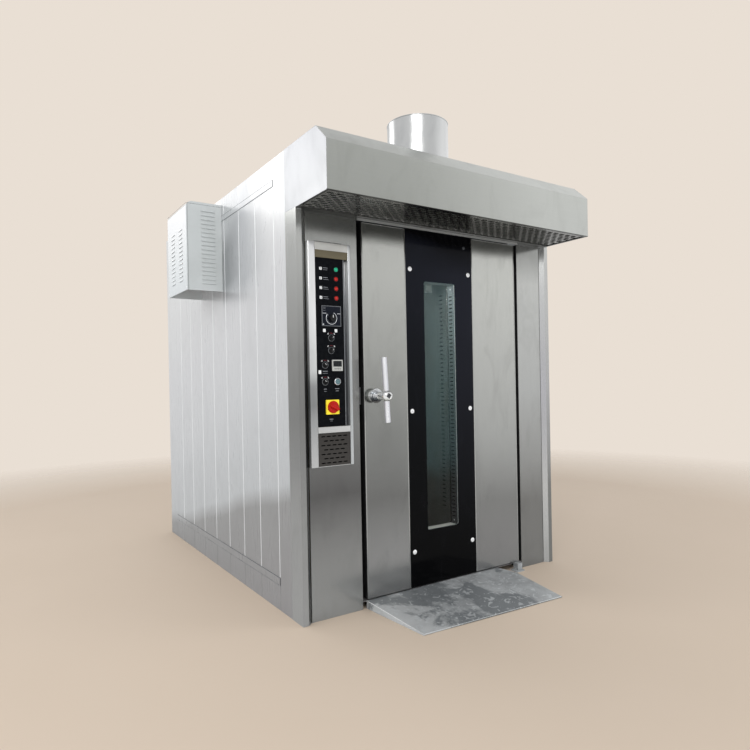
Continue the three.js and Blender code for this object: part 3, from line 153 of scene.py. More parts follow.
class Paint(NodeBench):  # one material being made
    def __init__(self, **sockets):
        self.material = bpy.data.materials.new("paint")
        self.material.use_nodes = True
        super().__init__(self.material.node_tree)
        self.shader = self.tree.nodes["Principled BSDF"]
        for key, value in sockets.items():
            self.set(key, value)
        self.place = self.node("ShaderNodeTexCoord", output="Object")

    def set(self, key, value):
        names = {"colour": "Base Color", "roughness": "Roughness", "metal": "Metallic", "coat": "Coat Weight",
            "coatRoughness": "Coat Roughness", "alpha": "Alpha", "normal": "Normal",
            "specular": "Specular IOR Level", "anisotropy": "Anisotropic", "glow": "Emission Color",
            "glowStrength": "Emission Strength"}
        socket = self.shader.inputs[names[key]]
        if isinstance(value, Wire):
            self.tree.links.new(value.socket, socket)
        else:
            socket.default_value = plain(value)

    def stretched(self, scale, offset=(0, 0, 0)):
        return self.node("ShaderNodeMapping", None, {"Vector": self.place, "Scale": scale,
            "Location": offset})

    def noise(self, scale, detail, rough, warp=0.0, offset=(0, 0, 0)):
        inputs = {"Vector": self.stretched(scale, offset), "Scale": 1.0}
        inputs |= {"Detail": detail, "Roughness": rough, "Distortion": warp}
        return self.node("ShaderNodeTexNoise", None, inputs)

    def veil(self, tone, mask, low, high, most, code):  # a colour over the tone where the mask is high
        return self.mix(self.spread(mask, low, high, 0.0, most), tone, code)

    def edges(self, radius=0.0015):  # rounds sharp edges for the light alone
        return self.node("ShaderNodeBevel", {"samples": 4}, {"Radius": radius})

    def bump(self, height, strength=0.2, distance=0.001, under=None):
        inputs = {"Height": height, "Strength": strength, "Distance": distance}
        if under is not None:
            inputs["Normal"] = under
        return self.node("ShaderNodeBump", None, inputs)


# ---- finishes
steelLook = {"grain": 620.0, "grainLength": 5.0, "grainDepth": 0.05, "top": 2.4}
frontPlane = -1.154  # y of the cabinet's front


def brushedSteel(tones, grainAlong="z", roughness=0.3, wave=0.0, metal=0.9, anisotropy=0.4, radius=0.0015,
        dirt=0.2, others=(), slope=0.0, flecks=0.08):
    # satin sheet: fine grain along one axis, tones by height (metres, colour), faint handling marks; the
    # tones are painted reflection and shade, as the sheet mirrors floor and room; others are (axis, from, to,
    # tones) that take over along an axis, painted lit and shaded faces and bands; slope tilts the heights
    # towards the back, a painted slant of the mirrored horizon
    paint = Paint(metal=metal, anisotropy=anisotropy)
    fine, long = steelLook["grain"], steelLook["grainLength"]
    scale = {"x": (long, fine, fine), "y": (fine, long, fine), "z": (fine, fine, long)}[grainAlong]
    grain = paint.noise(scale, 2.0, 0.6)
    slow = paint.noise((1.3, 1.3, 0.7), 3.0, 0.55, 0.4)
    marks = paint.noise((7, 7, 3), 5.0, 0.65, 0.8)
    height = paint.axis("Z") + (slow - 0.5) * 0.12
    if slope:
        height = height + (paint.axis("Y") - frontPlane) * slope
    # painted reflection and shade: the colour follows the height
    tone = paint.ramp(height, tones, steelLook["top"])
    # painted light and shade on single faces and bands
    for axis, low, high, stops in others:
        tone = paint.mix(paint.spread(paint.axis(axis), low, high), tone,
            paint.ramp(height, stops, steelLook["top"]))
    tone = paint.mix(paint.spread(marks, 0.5, 0.8, 0.0, dirt), tone, "#8b8a84", "MULTIPLY")
    tone = paint.mix(paint.spread(grain, 0.35, 0.65, 0.0, flecks), tone, (0.2, 0.2, 0.2, 1))
    paint.set("colour", tone)
    strong = min(1.0, flecks / 0.08)
    paint.set("roughness", roughness + (grain - 0.5) * (0.14 * strong)
        + paint.spread(marks, 0.45, 0.8, 0.0, 0.08))
    normal = paint.edges(radius)
    if wave:
        broad = paint.noise((2.2, 2.2, 1.1), 2.0, 0.4)
        normal = paint.bump(broad, wave, 0.02, normal)
    paint.set("normal", paint.bump(grain, steelLook["grainDepth"] * strong, 0.0004, normal))
    return paint.material


def polishedSteel(tint="#e4e5e7", roughness=0.1, dents=0.15, streaks=0.2, metal=1.0, bands=None, glow=0.0):
    # bright rolled sheet or turned stock: low roughness, soft dents, a little haze; bands are
    # (centre, direction, radius, tones): tones from -1 to 1 across a bar or boss, a painted reflection as
    # chrome mirrors a room; glow is a painted highlight, an emission though the steel is no lamp
    paint = Paint(metal=metal, glow=tint, glowStrength=glow)
    haze = paint.noise((9, 9, 4), 5.0, 0.6, 0.6)
    hair = paint.noise((260, 260, 9), 2.0, 0.6)
    base = tint
    if bands:
        centre, direction, radius, tones = bands
        away = paint.node("ShaderNodeVectorMath", {"operation": "SUBTRACT"}, {0: paint.place, 1: centre})
        across = paint.node("ShaderNodeVectorMath", {"operation": "DOT_PRODUCT"}, {0: away, 1: direction},
            output="Value")
        # painted reflection bands
        base = paint.ramp(across * (0.5 / radius) + 0.5, tones)
    paint.set("colour", paint.veil(base, haze, 0.45, 0.75, 0.35, "#aeb0b1"))
    paint.set("roughness", roughness + paint.spread(haze, 0.4, 0.8, 0.0, 0.12) + (hair - 0.5) * streaks * 0.3)
    swell = paint.noise((11, 11, 7), 1.5, 0.4)
    paint.set("normal", paint.bump(swell, dents, 0.01, paint.edges(0.001)))
    return paint.material


def sheetPaint(tint, shade, roughness=0.45, litFace=None):
    # stoved paint: orange-peel ripple and settled dust; litFace is (axis, from, to, tones by height)
    paint = Paint(coat=0.15, coatRoughness=0.3)
    dust = paint.noise((5, 5, 5), 6.0, 0.6)
    tone = paint.mix(paint.spread(dust, 0.45, 0.8, 0.0, 0.6), tint, shade)
    if litFace:
        axis, low, high, tones = litFace
        tone = paint.mix(paint.spread(paint.axis(axis), low, high), tone,
            paint.ramp(paint.axis("Z"), tones, 2.4))
    paint.set("colour", tone)
    paint.set("roughness", roughness + (dust - 0.5) * 0.2)
    ripple = paint.noise((240, 240, 240), 2.0, 0.5)
    paint.set("normal", paint.bump(ripple, 0.12, 0.0006, paint.edges(0.0015)))
    return paint.material


def mouldedPlastic(tint, roughness=0.4, grain=0.15, coat=0.0, specular=0.5, glow=0.0):
    paint = Paint(coat=coat, coatRoughness=0.08, specular=specular, glow=tint, glowStrength=glow)
    fleck = paint.noise((90, 90, 90), 4.0, 0.6)
    base = linear(tint)
    lighter = tuple(min(1, c * 1.25 + 0.01) for c in base[:3]) + (1,)
    paint.set("colour", paint.mix(paint.spread(fleck, 0.4, 0.75, 0.0, 0.5), base, lighter))
    paint.set("roughness", roughness + (fleck - 0.5) * 0.18)
    sand = paint.noise((900, 900, 900), 2.0, 0.5)
    paint.set("normal", paint.bump(sand, grain, 0.0003, paint.edges(0.0008)))
    return paint.material


def blackPrintedGlass():
    # toughened glass printed black behind, faint wipe marks; the colour is a painted reflection: navy at
    # mid height, darker towards the floor and under the head, lighter towards the right
    paint = Paint(specular=0.07)
    wipe = paint.noise((14, 14, 3.5), 6.0, 0.65, 1.2)
    slow = paint.noise((2.5, 2.5, 1.5), 2.0, 0.5)
    base = paint.ramp(paint.axis("Z") + (slow - 0.5) * 0.25, [(0.3, "#040405"), (0.75, "#07080a"),
        (1.15, "#0d0f13"), (1.75, "#1c1e26"), (1.86, "#1b1d25"), (1.93, "#060608")], 2.0)
    # painted reflection lighter towards the right
    base = paint.mix(paint.spread(paint.axis("X"), -0.12, 0.14), base,
        paint.ramp(paint.axis("Z"), [(0.3, "#040405"), (0.75, "#101116"), (1.15, "#1b1c23"),
        (1.75, "#20222b"), (1.93, "#060608")], 2.0))
    paint.set("colour", paint.veil(base, wipe, 0.55, 0.9, 0.10, "#3a3d45"))
    paint.set("roughness", 0.08 + paint.spread(wipe, 0.45, 0.8, 0.0, 0.12))
    broad = paint.noise((3, 3, 1.2), 1.0, 0.4)
    paint.set("normal", paint.bump(broad, 0.03, 0.01, paint.edges(0.001)))
    return paint.material


def clearPane():
    # oven glass: a thin film of grease; its colour is a painted reflection, grey-green higher and brown-grey
    # towards the foot
    paint = Paint(specular=0.1)
    film = paint.noise((6, 6, 2.5), 5.0, 0.6, 0.8)
    paint.set("colour", paint.ramp(paint.axis("Z") + (film - 0.5) * 0.1,
        [(0.35, "#2c2825"), (0.6, "#2c2b29"), (0.72, "#43585a"), (1.1, "#4d6668"), (1.35, "#566c6f"),
        (1.7, "#66797c")], 2.0))
    paint.set("alpha", 0.14 + paint.spread(film, 0.4, 0.8, 0.0, 0.04))
    paint.set("roughness", 0.05 + paint.spread(film, 0.4, 0.8, 0.0, 0.05))
    return paint.material


def galvanisedPlate():
    # hot-dip zinc: crystal patches, pale oxide clouds, darker damp stains with a crisp rim
    paint = Paint(metal=0.35)
    spangle = paint.node("ShaderNodeTexVoronoi", {"feature": "F1"}, {"Vector": paint.stretched((46, 46, 46)),
        "Scale": 1.0, "Randomness": 1.0}, output="Color")
    facet = paint.node("ShaderNodeSeparateColor", None, {"Color": spangle}, output=0)
    cloud = paint.noise((9, 9, 9), 7.0, 0.68, 0.3)
    blot = paint.noise((27, 27, 27), 4.0, 0.55, 1.2, (5, 2, 0))
    stain = paint.noise((4.2, 3.0, 4), 8.0, 0.62, 0.5, (3.3, 1, 0))
    middle = paint.spread(abs(paint.axis("X") + 0.11), 0.1, 0.45, 0.07, -0.07)
    tone = paint.mix(facet, "#a5a8a9", "#b3b5b6")
    tone = paint.veil(tone, cloud, 0.42, 0.62, 0.55, "#cdd0d0")
    left = paint.spread(paint.axis("X"), -0.15, -0.45, 0.0, 0.65)
    tone = paint.mix(left, tone, "#dcdddc")
    tone = paint.veil(tone, stain + middle, 0.5, 0.56, 0.72, "#6c7174")
    tone = paint.veil(tone, blot, 0.58, 0.62, 0.6, "#d6d9da")
    paint.set("colour", tone)
    paint.set("roughness", 0.42 + facet * 0.12 + paint.spread(cloud, 0.45, 0.7, 0.0, 0.2))
    paint.set("normal", paint.bump(cloud + facet * 0.2, 0.15, 0.001, paint.edges(0.0015)))
    return paint.material


def bakedSteel():
    # chamber lining: cool grey steel with heat tints and baked-on film
    paint = Paint(metal=0.6)
    film = paint.noise((3, 3, 2), 6.0, 0.6, 0.9)
    grain = paint.noise((400, 400, 6), 2.0, 0.5)
    paint.set("colour", paint.veil("#8f9994", film, 0.45, 0.8, 0.7, "#7b6f5c"))
    paint.set("roughness", 0.42 + (grain - 0.5) * 0.12 + paint.spread(film, 0.4, 0.8, 0.0, 0.2))
    paint.set("normal", paint.bump(grain, 0.08, 0.0005, paint.edges(0.001)))
    return paint.material


def woolSlab():
    paint = Paint(roughness=0.95)
    strand = paint.noise((60, 60, 240), 7.0, 0.7, 1.5)
    paint.set("colour", paint.mix(strand, "#8d7a48", "#cdbb8b"))
    paint.set("normal", paint.bump(strand, 0.8, 0.004))
    return paint.material


def rubberSeal():
    paint = Paint(specular=0.35)
    bloom = paint.noise((40, 40, 14), 5.0, 0.6)
    paint.set("colour", paint.mix(paint.spread(bloom, 0.45, 0.8), "#0c0c0d", "#232324"))
    paint.set("roughness", 0.62 + (bloom - 0.5) * 0.3)
    paint.set("normal", paint.bump(bloom, 0.2, 0.0008, paint.edges(0.002)))
    return paint.material


def lampLens(tint, deep, glow=0.3):
    paint = Paint(coat=0.25, coatRoughness=0.08, roughness=0.25, specular=0.3, glowStrength=glow)
    cell = paint.node("ShaderNodeTexVoronoi", {"feature": "DISTANCE_TO_EDGE"},
        {"Vector": paint.stretched((420, 420, 420)), "Scale": 1.0})
    tone = paint.mix(paint.spread(cell, 0.0, 0.3), deep, tint)
    paint.set("colour", tone)
    paint.set("glow", tone)
    paint.set("normal", paint.bump(cell, 0.3, 0.0006))
    return paint.material


# painted light on the walls: dark below about 0.65 m where the sheet mirrors the floor, rising to a painted
# glare at the top
wallTones = [(0.0, "#9f9c9c"), (0.6, "#9b9a99"), (0.7, "#c8cacb"), (1.2, "#dadbdc"), (1.7, "#e3e3e4")]
wholeWall = wallTones + [(2.3, "#efefee")]
finishes = {
    # hood: painted reflection by height, lighter towards the right; a painted shade on the underside below
    # its lip; the left side face painted bright, as if lit
    "hood": brushedSteel([(1.95, "#a9aba6"), (2.2, "#b1b3ae"), (2.3, "#bdbfbb")], "x", 0.3, 0.1,
        others=[("X", -0.45, 0.5, [(1.95, "#c7c9c5"), (2.3, "#cccec9")]),
        ("Z", 1.9965, 1.9945, [(1.9, "#42413e"), (2.0, "#42413e")]), ("X", -0.8765, -0.8775,
        [(1.95, "#d6d7d9"), (2.08, "#c3c4c6"), (2.3, "#babbbe")])], dirt=0.12, flecks=0.05),
    # posts: painted reflection by height, and lit and shaded copies of it on each face of the two posts
    "post": brushedSteel([(0.1, "#8f8f8e"), (0.5, "#868685"), (1.1, "#bababb"), (1.9, "#d3d4d2")], "z", 0.2,
        0.04, others=[("X", 0.8215, 0.8235, [(0.1, "#cececc"), (0.5, "#cecdcb"), (1.1, "#cdccd0"),
        (1.9, "#dedfdd")]), ("X", 0.847, 0.849, [(0.1, "#8b8b88"), (0.5, "#868683"), (1.1, "#b3b3b3"),
        (1.9, "#c9cac8")]), ("X", 0.0, -0.2, [(0.1, "#6a6a68"), (0.8, "#595957"), (1.35, "#717170"),
        (1.9, "#b0b1ae")]), ("X", -0.8465, -0.8485, [(0.1, "#b2b2b1"), (1.0, "#8b8b89"), (1.3, "#979795"),
        (1.9, "#cccdca")])]),
    # pillars: painted reflection by height, with a painted shade under the hood at the top; the right pillar
    # has its own painted tones
    "pillar": brushedSteel([(0.05, "#a9a9a7"), (0.25, "#9e9e9c"), (0.6, "#686766"), (0.95, "#8a8a88"),
        (1.45, "#a0a09e"), (1.8, "#b9bab7"), (1.95, "#8f908c")], "z", 0.18, 0.06,
        others=[("X", -0.2, 0.3, [(0.05, "#8f8e8b"), (0.4, "#868582"), (1.1, "#b6b7b5"), (1.75, "#c6c7c4"),
        (1.92, "#a5a6a3")])]),
    # head frame: painted shade darkening towards the hood, and the strip above the door painted bright, a
    # painted highlight
    "frame": brushedSteel([(0.0, "#a9aaa7"), (1.9, "#858682")], "x", 0.3,
        others=[("Z", 1.974, 1.977, [(1.9, "#dededb"), (2.0, "#dededb")])]),
    # door: painted reflection by height, with a painted shade under the hood at the top; the right strips
    # have their own painted tones
    "door": brushedSteel([(0.05, "#a3a3a2"), (0.22, "#a0a09f"), (0.54, "#7b7b79"), (0.9, "#8f908d"),
        (1.3, "#aeafab"), (1.7, "#c6c7c2"), (1.86, "#c9cac5"), (1.94, "#7a7b76")], "z", 0.2, 0.05,
        others=[("X", -0.3, 0.3, [(0.05, "#9a9a99"), (0.15, "#969594"), (0.44, "#8d8d8b"), (0.86, "#adaeab"),
        (1.35, "#c0c1bd"), (1.75, "#cccdc8"), (1.88, "#cbccc7"), (1.95, "#8b8c87")])]),
    # walls: painted light by height; slope slants it towards the back, a painted mirrored horizon
    "wall": brushedSteel(wholeWall, "z", 0.28, 0.12, 0.5, 0.2, 0.002, 0.1, slope=0.24, flecks=0.03),
    # left wall: the same painted light, with a painted shadow of the burner cover on the wall in front of it,
    # darkest between 2.0 and 2.2 m and fading towards the front
    "sideWall": brushedSteel(wholeWall, "z", 0.28, 0.12, 0.5, 0.2, 0.002, 0.1,
        [("Y", -0.85, -0.5, wallTones + [(1.78, "#e4e4e5"), (1.92, "#cacbcd"), (2.3, "#cdced0")]),
        ("Y", -0.45, -0.22, wallTones + [(1.88, "#dfdfe0"), (2.0, "#a3a5a7"), (2.2, "#9fa1a3"),
        (2.35, "#d0d1d2")]), ("Y", -0.13, -0.12, wholeWall)], 0.24, 0.03),
    "tray": brushedSteel([(0.9, "#d8d8d6"), (1.85, "#d0cfca")], "x", 0.3),
    "trayBack": brushedSteel([(0.9, "#58595a"), (1.25, "#67686c"), (1.6, "#9b9c9e"), (1.8, "#c4c4c2")], "z",
        0.3),
    "vent": brushedSteel([(0.75, "#4a4744"), (0.92, "#423f3c")], "x", 0.35, 0.0, 0.8),
    # strip: its dark brownish tone is a painted reflection of the floor
    "strip": brushedSteel([(1.76, "#7d745c"), (1.81, "#6f6752")], "x", 0.4, 0.0, 0.6),
    "latch": brushedSteel([(1.0, "#8f9091"), (1.2, "#9b9c9d")], "x", 0.3),
    # grille: its dark tone is painted shade under the hood, a little lighter towards the left
    "grille": brushedSteel([(1.9, "#53504a"), (2.1, "#575450")], "x", 0.2, 0.0, 0.9, dirt=0.1,
        others=[("X", -0.3, -0.8, [(1.9, "#5e5b54")])], flecks=0.02),
    "brightEdge": polishedSteel("#b8b8b5", 0.2, 0.05),
    # glowing beads on the wall joints, the ramp's edges and the hood's folds: painted highlights
    "jointEdge": polishedSteel("#f4f5f5", 0.3, 0.02, 0.1, 0.6, glow=0.2),
    "foldSteel": polishedSteel("#e0e0de", 0.22, 0.05, glow=0.12),
    "plateEdge": polishedSteel("#8f9296", 0.25, 0.05),
    # reveal: painted shade in the window's depth, darker towards the foot
    "reveal": brushedSteel([(0.34, "#3f4243"), (0.7, "#48504f"), (1.2, "#66726f"), (1.7, "#7e8b8a")], "z",
        0.4, 0.0, 0.2),
    # ledges: painted light, the lower ledge bright and the upper one dim
    "ledge": brushedSteel([(0.3, "#e6ebe2"), (1.7, "#8c9793")], "x", 0.4, 0.0, 0.1),
    # rails: painted reflection, brightest above 1.5 m, with a darker band at the handle's height where the
    # left rail mirrors it; the right rail has its own painted tones
    "rail": brushedSteel([(0.75, "#cfcfce"), (0.98, "#aeafaf"), (1.05, "#959696"), (1.14, "#a0a1a1"),
        (1.22, "#dfe0df"), (1.5, "#fbfbfb"), (1.84, "#f6f6f6")], "z", 0.14, 0.08, 0.65,
        others=[("X", -0.7, -0.65, [(0.75, "#d0d2d3"), (1.1, "#c3c7c8"), (1.84, "#dddfdf")])]),
    # lip: dim painted shade, with a painted highlight down its right side
    "lipSteel": brushedSteel([(0.3, "#5b6665"), (1.7, "#77858a")], "z", 0.3, 0.0, 0.2,
        others=[("X", 0.118, 0.12, [(0.3, "#c4cecc"), (1.2, "#ffffff")])]),
    "collar": polishedSteel("#d6d7d7", 0.19, 0.35),
    # handle parts: chrome bands are painted reflections, and the glow on bar, ball and flange is a painted
    # highlight
    "handle": polishedSteel(roughness=0.07, dents=0.02, bands=((0, 0, 1.088), (0, 0, 1), 0.038,
        [(0.0, "#6f6b66"), (0.22, "#3f4247"), (0.36, "#6c7075"), (0.47, "#d3d6d9"), (0.56, "#f2f3f4"),
        (0.66, "#8c9196"), (0.8, "#cfd2d5"), (1.0, "#f4f5f6")])),
    "barSteel": polishedSteel("#f0f0f4", 0.25, 0.02, metal=0.7, glow=0.1,
        bands=((-0.445, 0, 1.088), (1, 0, 0.0541), 0.0148, [(0.0, "#dcdce0"), (0.2, "#fbfbfd"),
        (0.45, "#f0f0f4"), (0.6, "#c4c4c9"), (0.85, "#b0b0b6"), (1.0, "#c9c9cd")])),
    "ballChrome": polishedSteel("#f2f2f0", 0.1, 0.02, metal=0.8, glow=0.06,
        bands=((0, 0, 1.088), (0, 0, 1), 0.0288, [(0.0, "#3b3936"), (0.08, "#9c9a92"), (0.18, "#e2e2da"),
        (0.35, "#fafaf8"), (0.7, "#fafafa"), (0.88, "#d6d6d6"), (0.95, "#5c5e62"), (1.0, "#2f3134")])),
    "flangeSteel": polishedSteel("#7b7c7b", 0.35, 0.02, metal=0.2, glow=0.55,
        bands=((0, 0, 1.088), (0, 0, 1), 0.031, [(0.0, "#6f6f6a"), (0.35, "#7d7d78"), (0.48, "#9d9e9c"),
        (0.54, "#fafbfc"), (0.6, "#b3b5b5"), (0.8, "#a5a7a6"), (1.0, "#8d8e89")])),
    # bolts and screws: the glow is a painted highlight
    "boltChrome": polishedSteel("#f8f8f8", 0.3, 0.02, 0.1, 0.3, glow=0.15),
    "ringSteel": polishedSteel("#7b7e82", 0.25, 0.03),
    "ringBright": polishedSteel("#e6e8ec", 0.18, 0.03),
    "cover": sheetPaint("#d8dcdb", "#c5c9c7", 0.42, litFace=("X", -1.0915, -1.0925,
        [(1.73, "#dfe3e4"), (1.95, "#f0f3f3"), (2.15, "#ffffff")])),
    "ductShade": mouldedPlastic("#333c3a", 0.6, 0.05, 0.0, 0.2),
    "drive": sheetPaint("#3d4148", "#2b2e33", 0.5),
    "burner": sheetPaint("#b92319", "#7d1a13", 0.35),
    "blackPlate": mouldedPlastic("#0a0c10", 0.3, 0.08, 0.0, 0.05),
    "knobBlack": mouldedPlastic("#0b0c0e", 0.38, 0.15, 0.0, 0.3),
    "timerBlack": mouldedPlastic("#161a24", 0.25, 0.05, 0.0, 0.1),
    "displayGrey": mouldedPlastic("#c3c3be", 0.45, 0.12),
    "keyGrey": mouldedPlastic("#6c6c68", 0.45, 0.12),
    # switch plate: its glow is painted light
    "yellow": mouldedPlastic("#f8e03a", 0.45, 0.1, 0.0, 0.3, 0.28),
    "red": mouldedPlastic("#c0140b", 0.35, 0.06, 0.0, 0.25),
    # white marks: their glow is painted light
    "white": mouldedPlastic("#efefed", 0.5, 0.05, 0.0, 0.3, 0.1),
    "ink": mouldedPlastic("#15151a", 0.5, 0.05),
    "dimPrint": mouldedPlastic("#a0a2a7", 0.5, 0.05),
    "unlit": mouldedPlastic("#34373c", 0.4, 0.05),
    "markRed": mouldedPlastic("#7c2228", 0.5, 0.05),
    "screen": mouldedPlastic("#15191c", 0.12, 0.02, 0.0, 0.25),
    "lockGrey": mouldedPlastic("#3a3c40", 0.3, 0.05),
    "teal": mouldedPlastic("#5d7e84", 0.25, 0.05, 0.3),
    "glassBlack": blackPrintedGlass(),
    "pane": clearPane(),
    "zinc": galvanisedPlate(),
    "chamber": bakedSteel(),
    "wool": woolSlab(),
    "rubber": rubberSeal(),
    "lampGreen": lampLens("#2cc796", "#0c6a4d", 0.5),
    "lampRed": lampLens("#d0241b", "#7d0f0a", 0.35),
    # dark: painted shade set into slots and gaps and behind the vent
    "dark": mouldedPlastic("#08080a", 0.6, 0.05, 0.0, 0.2),
}
for name, material in finishes.items():
    material.name = name

nodeFinish = {"hood": ["hood_shell"], "post": ["left_corner_post", "right_corner_post"],
    "pillar": ["left_pillar_panel", "right_pillar_panel"], "frame": ["door_frame"], "door": ["door_leaf"],
    "sideWall": ["left_cladding"], "wall": ["right_cladding", "rear_cladding", "roof_panel", "base_frame"],
    "tray": ["control_box"], "latch": ["latch_bolt", "latch_keeper"], "grille": ["hood_grille"],
    "rail": ["left_rail", "right_rail"], "collar": ["exhaust_collar"], "handle": ["t_handle", "escutcheon"],
    "cover": ["burner_cover"], "drive": ["drive_gearmotor", "fan_motor"], "burner": ["burner"],
    "blackPlate": ["control_plate"], "timerBlack": ["timer_plate"], "displayGrey": ["temperature_display"],
    "knobBlack": ["timer_knob", "selector_knob_1", "selector_knob_2", "selector_knob_3", "selector_knob_4"],
    "teal": ["push_button"], "yellow": ["switch_plate"], "red": ["main_switch_knob"],
    "glassBlack": ["door_glass"], "pane": ["window_outer_pane", "window_inner_pane"],
    "zinc": ["ramp", "lower_hinge_bracket", "upper_hinge_bracket"], "rubber": ["door_gasket"],
    "chamber": ["chamber_left_wall", "chamber_right_wall", "chamber_rear_wall", "chamber_ceiling",
    "air_duct_panel", "rack_carrier", "fan_wheel", "heat_exchanger", "door_liner"],
    "wool": ["left_insulation", "right_insulation", "ceiling_insulation"], "lampGreen": ["lamp_1"],
    "lampRed": ["lamp_2", "lamp_3", "lamp_4"]}
for finish, names in nodeFinish.items():
    for name in names:
        node = nodes[name]
        node.data.materials.clear()
        node.data.materials.append(finishes[finish])
print("finishes on nodes:", sum(map(len, nodeFinish.values())))


# ---- surfaces, in millimetres right of the cabinet's left edge, behind its front plane and above the floor
cabinetCorner = np.array([878.0, 1154.0, 0.0])


def placed(points):  # from those millimetres to the frame's metres
    return (np.asarray(points) - cabinetCorner) / 1000


def spot(x, y, z):
    return placed((x, y, z))


def upright(outline, y, x=0, z=0):  # an outline in x and z that stands at depth y
    return placed(np.stack([outline[:, 0] + x, np.full(len(outline), y), outline[:, 1] + z], -1))


def quads(nu, nv, closeU, closeV, base=0):  # faces between neighbours in a grid's rows and columns
    index = np.arange(nu * nv).reshape(nu, nv) + base
    u, v = np.meshgrid(np.arange(nu if closeU else nu - 1), np.arange(nv if closeV else nv - 1),
        indexing="ij")
    u1, v1 = (u + 1) % nu, (v + 1) % nv
    return np.stack([index[u, v], index[u1, v], index[u1, v1], index[u, v1]], -1).reshape(-1, 4)


def piece(name, parts, finish, body="cabinet", sharp=38.0, replaced=()):
    # each part is (grid, closeU, closeV), and doubles are merged
    vertices, faces, base = [], [], 0
    for grid, closeU, closeV in parts:
        faces.append(quads(*grid.shape[:2], closeU, closeV, base))
        vertices.append(grid.reshape(-1, 3))
        base += len(vertices[-1])
    return finished(name, np.concatenate(vertices), np.concatenate(faces), finish, body, sharp,
        replaced)


def finished(name, vertices, faces, finish, body="cabinet", sharp=38.0, replaced=()):
    mesh = bpy.data.meshes.new(name)
    mesh.from_pydata(vertices.tolist(), [], faces.tolist())
    shape = bmesh.new()
    shape.from_mesh(mesh)
    bmesh.ops.remove_doubles(shape, verts=shape.verts, dist=2e-6)
    bmesh.ops.dissolve_degenerate(shape, edges=shape.edges, dist=1e-7)
    bmesh.ops.recalc_face_normals(shape, faces=shape.faces)
    for face in shape.faces:
        face.smooth = True
    for edge in shape.edges:
        if edge.is_manifold and math.degrees(edge.calc_face_angle(0)) > sharp:
            edge.smooth = False
    shape.to_mesh(mesh)
    shape.free()
    mesh.materials.append(finishes[finish])
    made = bpy.data.objects.new(name, mesh)
    scene.collection.objects.link(made)
    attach(made, body)
    if replaced:
        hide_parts(*replaced)
    return made


def swung(part, degrees, centre):
    # turns a part about y through centre, positive leans its top to the right
    grid, closeU, closeV = part
    c, s = math.cos(math.radians(degrees)), math.sin(math.radians(degrees))
    x, y, z = np.moveaxis(grid - centre, -1, 0)
    return np.stack([z * s + x * c, y, z * c - x * s], -1) + centre, closeU, closeV


def turned(profile, centre, axis="-y", sides=48, ripple=None):
    # surface of revolution: profile rows are (radius, height) in mm along axis, ripple(angle) scales radii
    profile = np.asarray(profile, float) / 1000
    angle = np.linspace(0, 2 * np.pi, sides, endpoint=False)
    radius, height = profile[:, 0][:, None], profile[:, 1][:, None] + 0 * angle
    if ripple is not None:
        radius = radius * ripple(angle)[None]
    across, up = radius * np.cos(angle), radius * np.sin(angle)
    grid = {"-y": (across, -height, up), "z": (across, up, height), "-x": (-height, across, up)}[axis]
    return np.stack(grid, -1) + centre, False, True


def roundedLoop(halfA, halfB, radius, perCorner=5):
    # outline of a rectangle with quarter-circle corners, counter-clockwise from the lower right
    turn = np.linspace(0, np.pi / 2, perCorner)
    corners = [(1, -1, -np.pi / 2), (1, 1, 0), (-1, 1, np.pi / 2), (-1, -1, np.pi)]
    return np.concatenate([np.stack([sa * (halfA - radius) + radius * np.cos(turn + start),
        sb * (halfB - radius) + radius * np.sin(turn + start)], -1) for sa, sb, start in corners])


def block(low, high, soft=0.5, corner=None, axis=1, perCorner=5):
    # block between two corners in mm, its outline a rounded rectangle square to axis; each row of the
    # grid is that outline drawn in by r(1 - cos t) at depth r(1 - sin t), so the two ends are eased by soft
    low, high = np.minimum(low, high), np.maximum(low, high)
    a, b = [(1, 2), (0, 2), (0, 1)][axis]
    halfA, halfB = (high[a] - low[a]) / 2, (high[b] - low[b]) / 2
    corner = soft if corner is None else corner
    flat, tiny = min(halfA, halfB), 1e-6
    ease = np.linspace(0, np.pi / 2, 4)
    nearEnd = [(flat, 0)] + [(soft * (1 - math.sin(t)), soft * (1 - math.cos(t))) for t in ease]
    length = high[axis] - low[axis]
    rows = nearEnd + [(inset, length - depth) for inset, depth in reversed(nearEnd)]
    loops = []
    for inset, depth in rows:
        ha, hb = max(halfA - inset, tiny), max(halfB - inset, tiny)
        ring = roundedLoop(ha, hb, min(max(corner - inset, tiny), ha, hb), perCorner)
        point = np.zeros((len(ring), 3))
        point[:, a] = ring[:, 0] + (low[a] + high[a]) / 2
        point[:, b] = ring[:, 1] + (low[b] + high[b]) / 2
        point[:, axis] = low[axis] + depth
        loops.append(point)
    return placed(np.stack(loops)), False, True


def tube(path, radius, sides=10, closed=False):
    # circle carried along a path in metres, framed by the tangent and the axis that the path follows least
    path = np.asarray(path, float)
    tangent = np.roll(path, -1, 0) - np.roll(path, 1, 0) if closed else np.gradient(path, axis=0)
    tangent /= np.linalg.norm(tangent, axis=1, keepdims=True)
    seed = np.eye(3)[np.argmin(np.abs(tangent).max(0))]
    first = np.cross(tangent, seed)
    first /= np.linalg.norm(first, axis=1, keepdims=True)
    second = np.cross(tangent, first)
    angle = np.linspace(0, 2 * np.pi, sides, endpoint=False)
    ring = np.cos(angle)[None, :, None] * first[:, None] + np.sin(angle)[None, :, None] * second[:, None]
    grid = path[:, None] + radius / 1000 * ring
    if not closed:
        grid = np.concatenate([path[:1, None] + 0 * ring[:1], grid, path[-1:, None] + 0 * ring[-1:]])
    return grid, closed, True


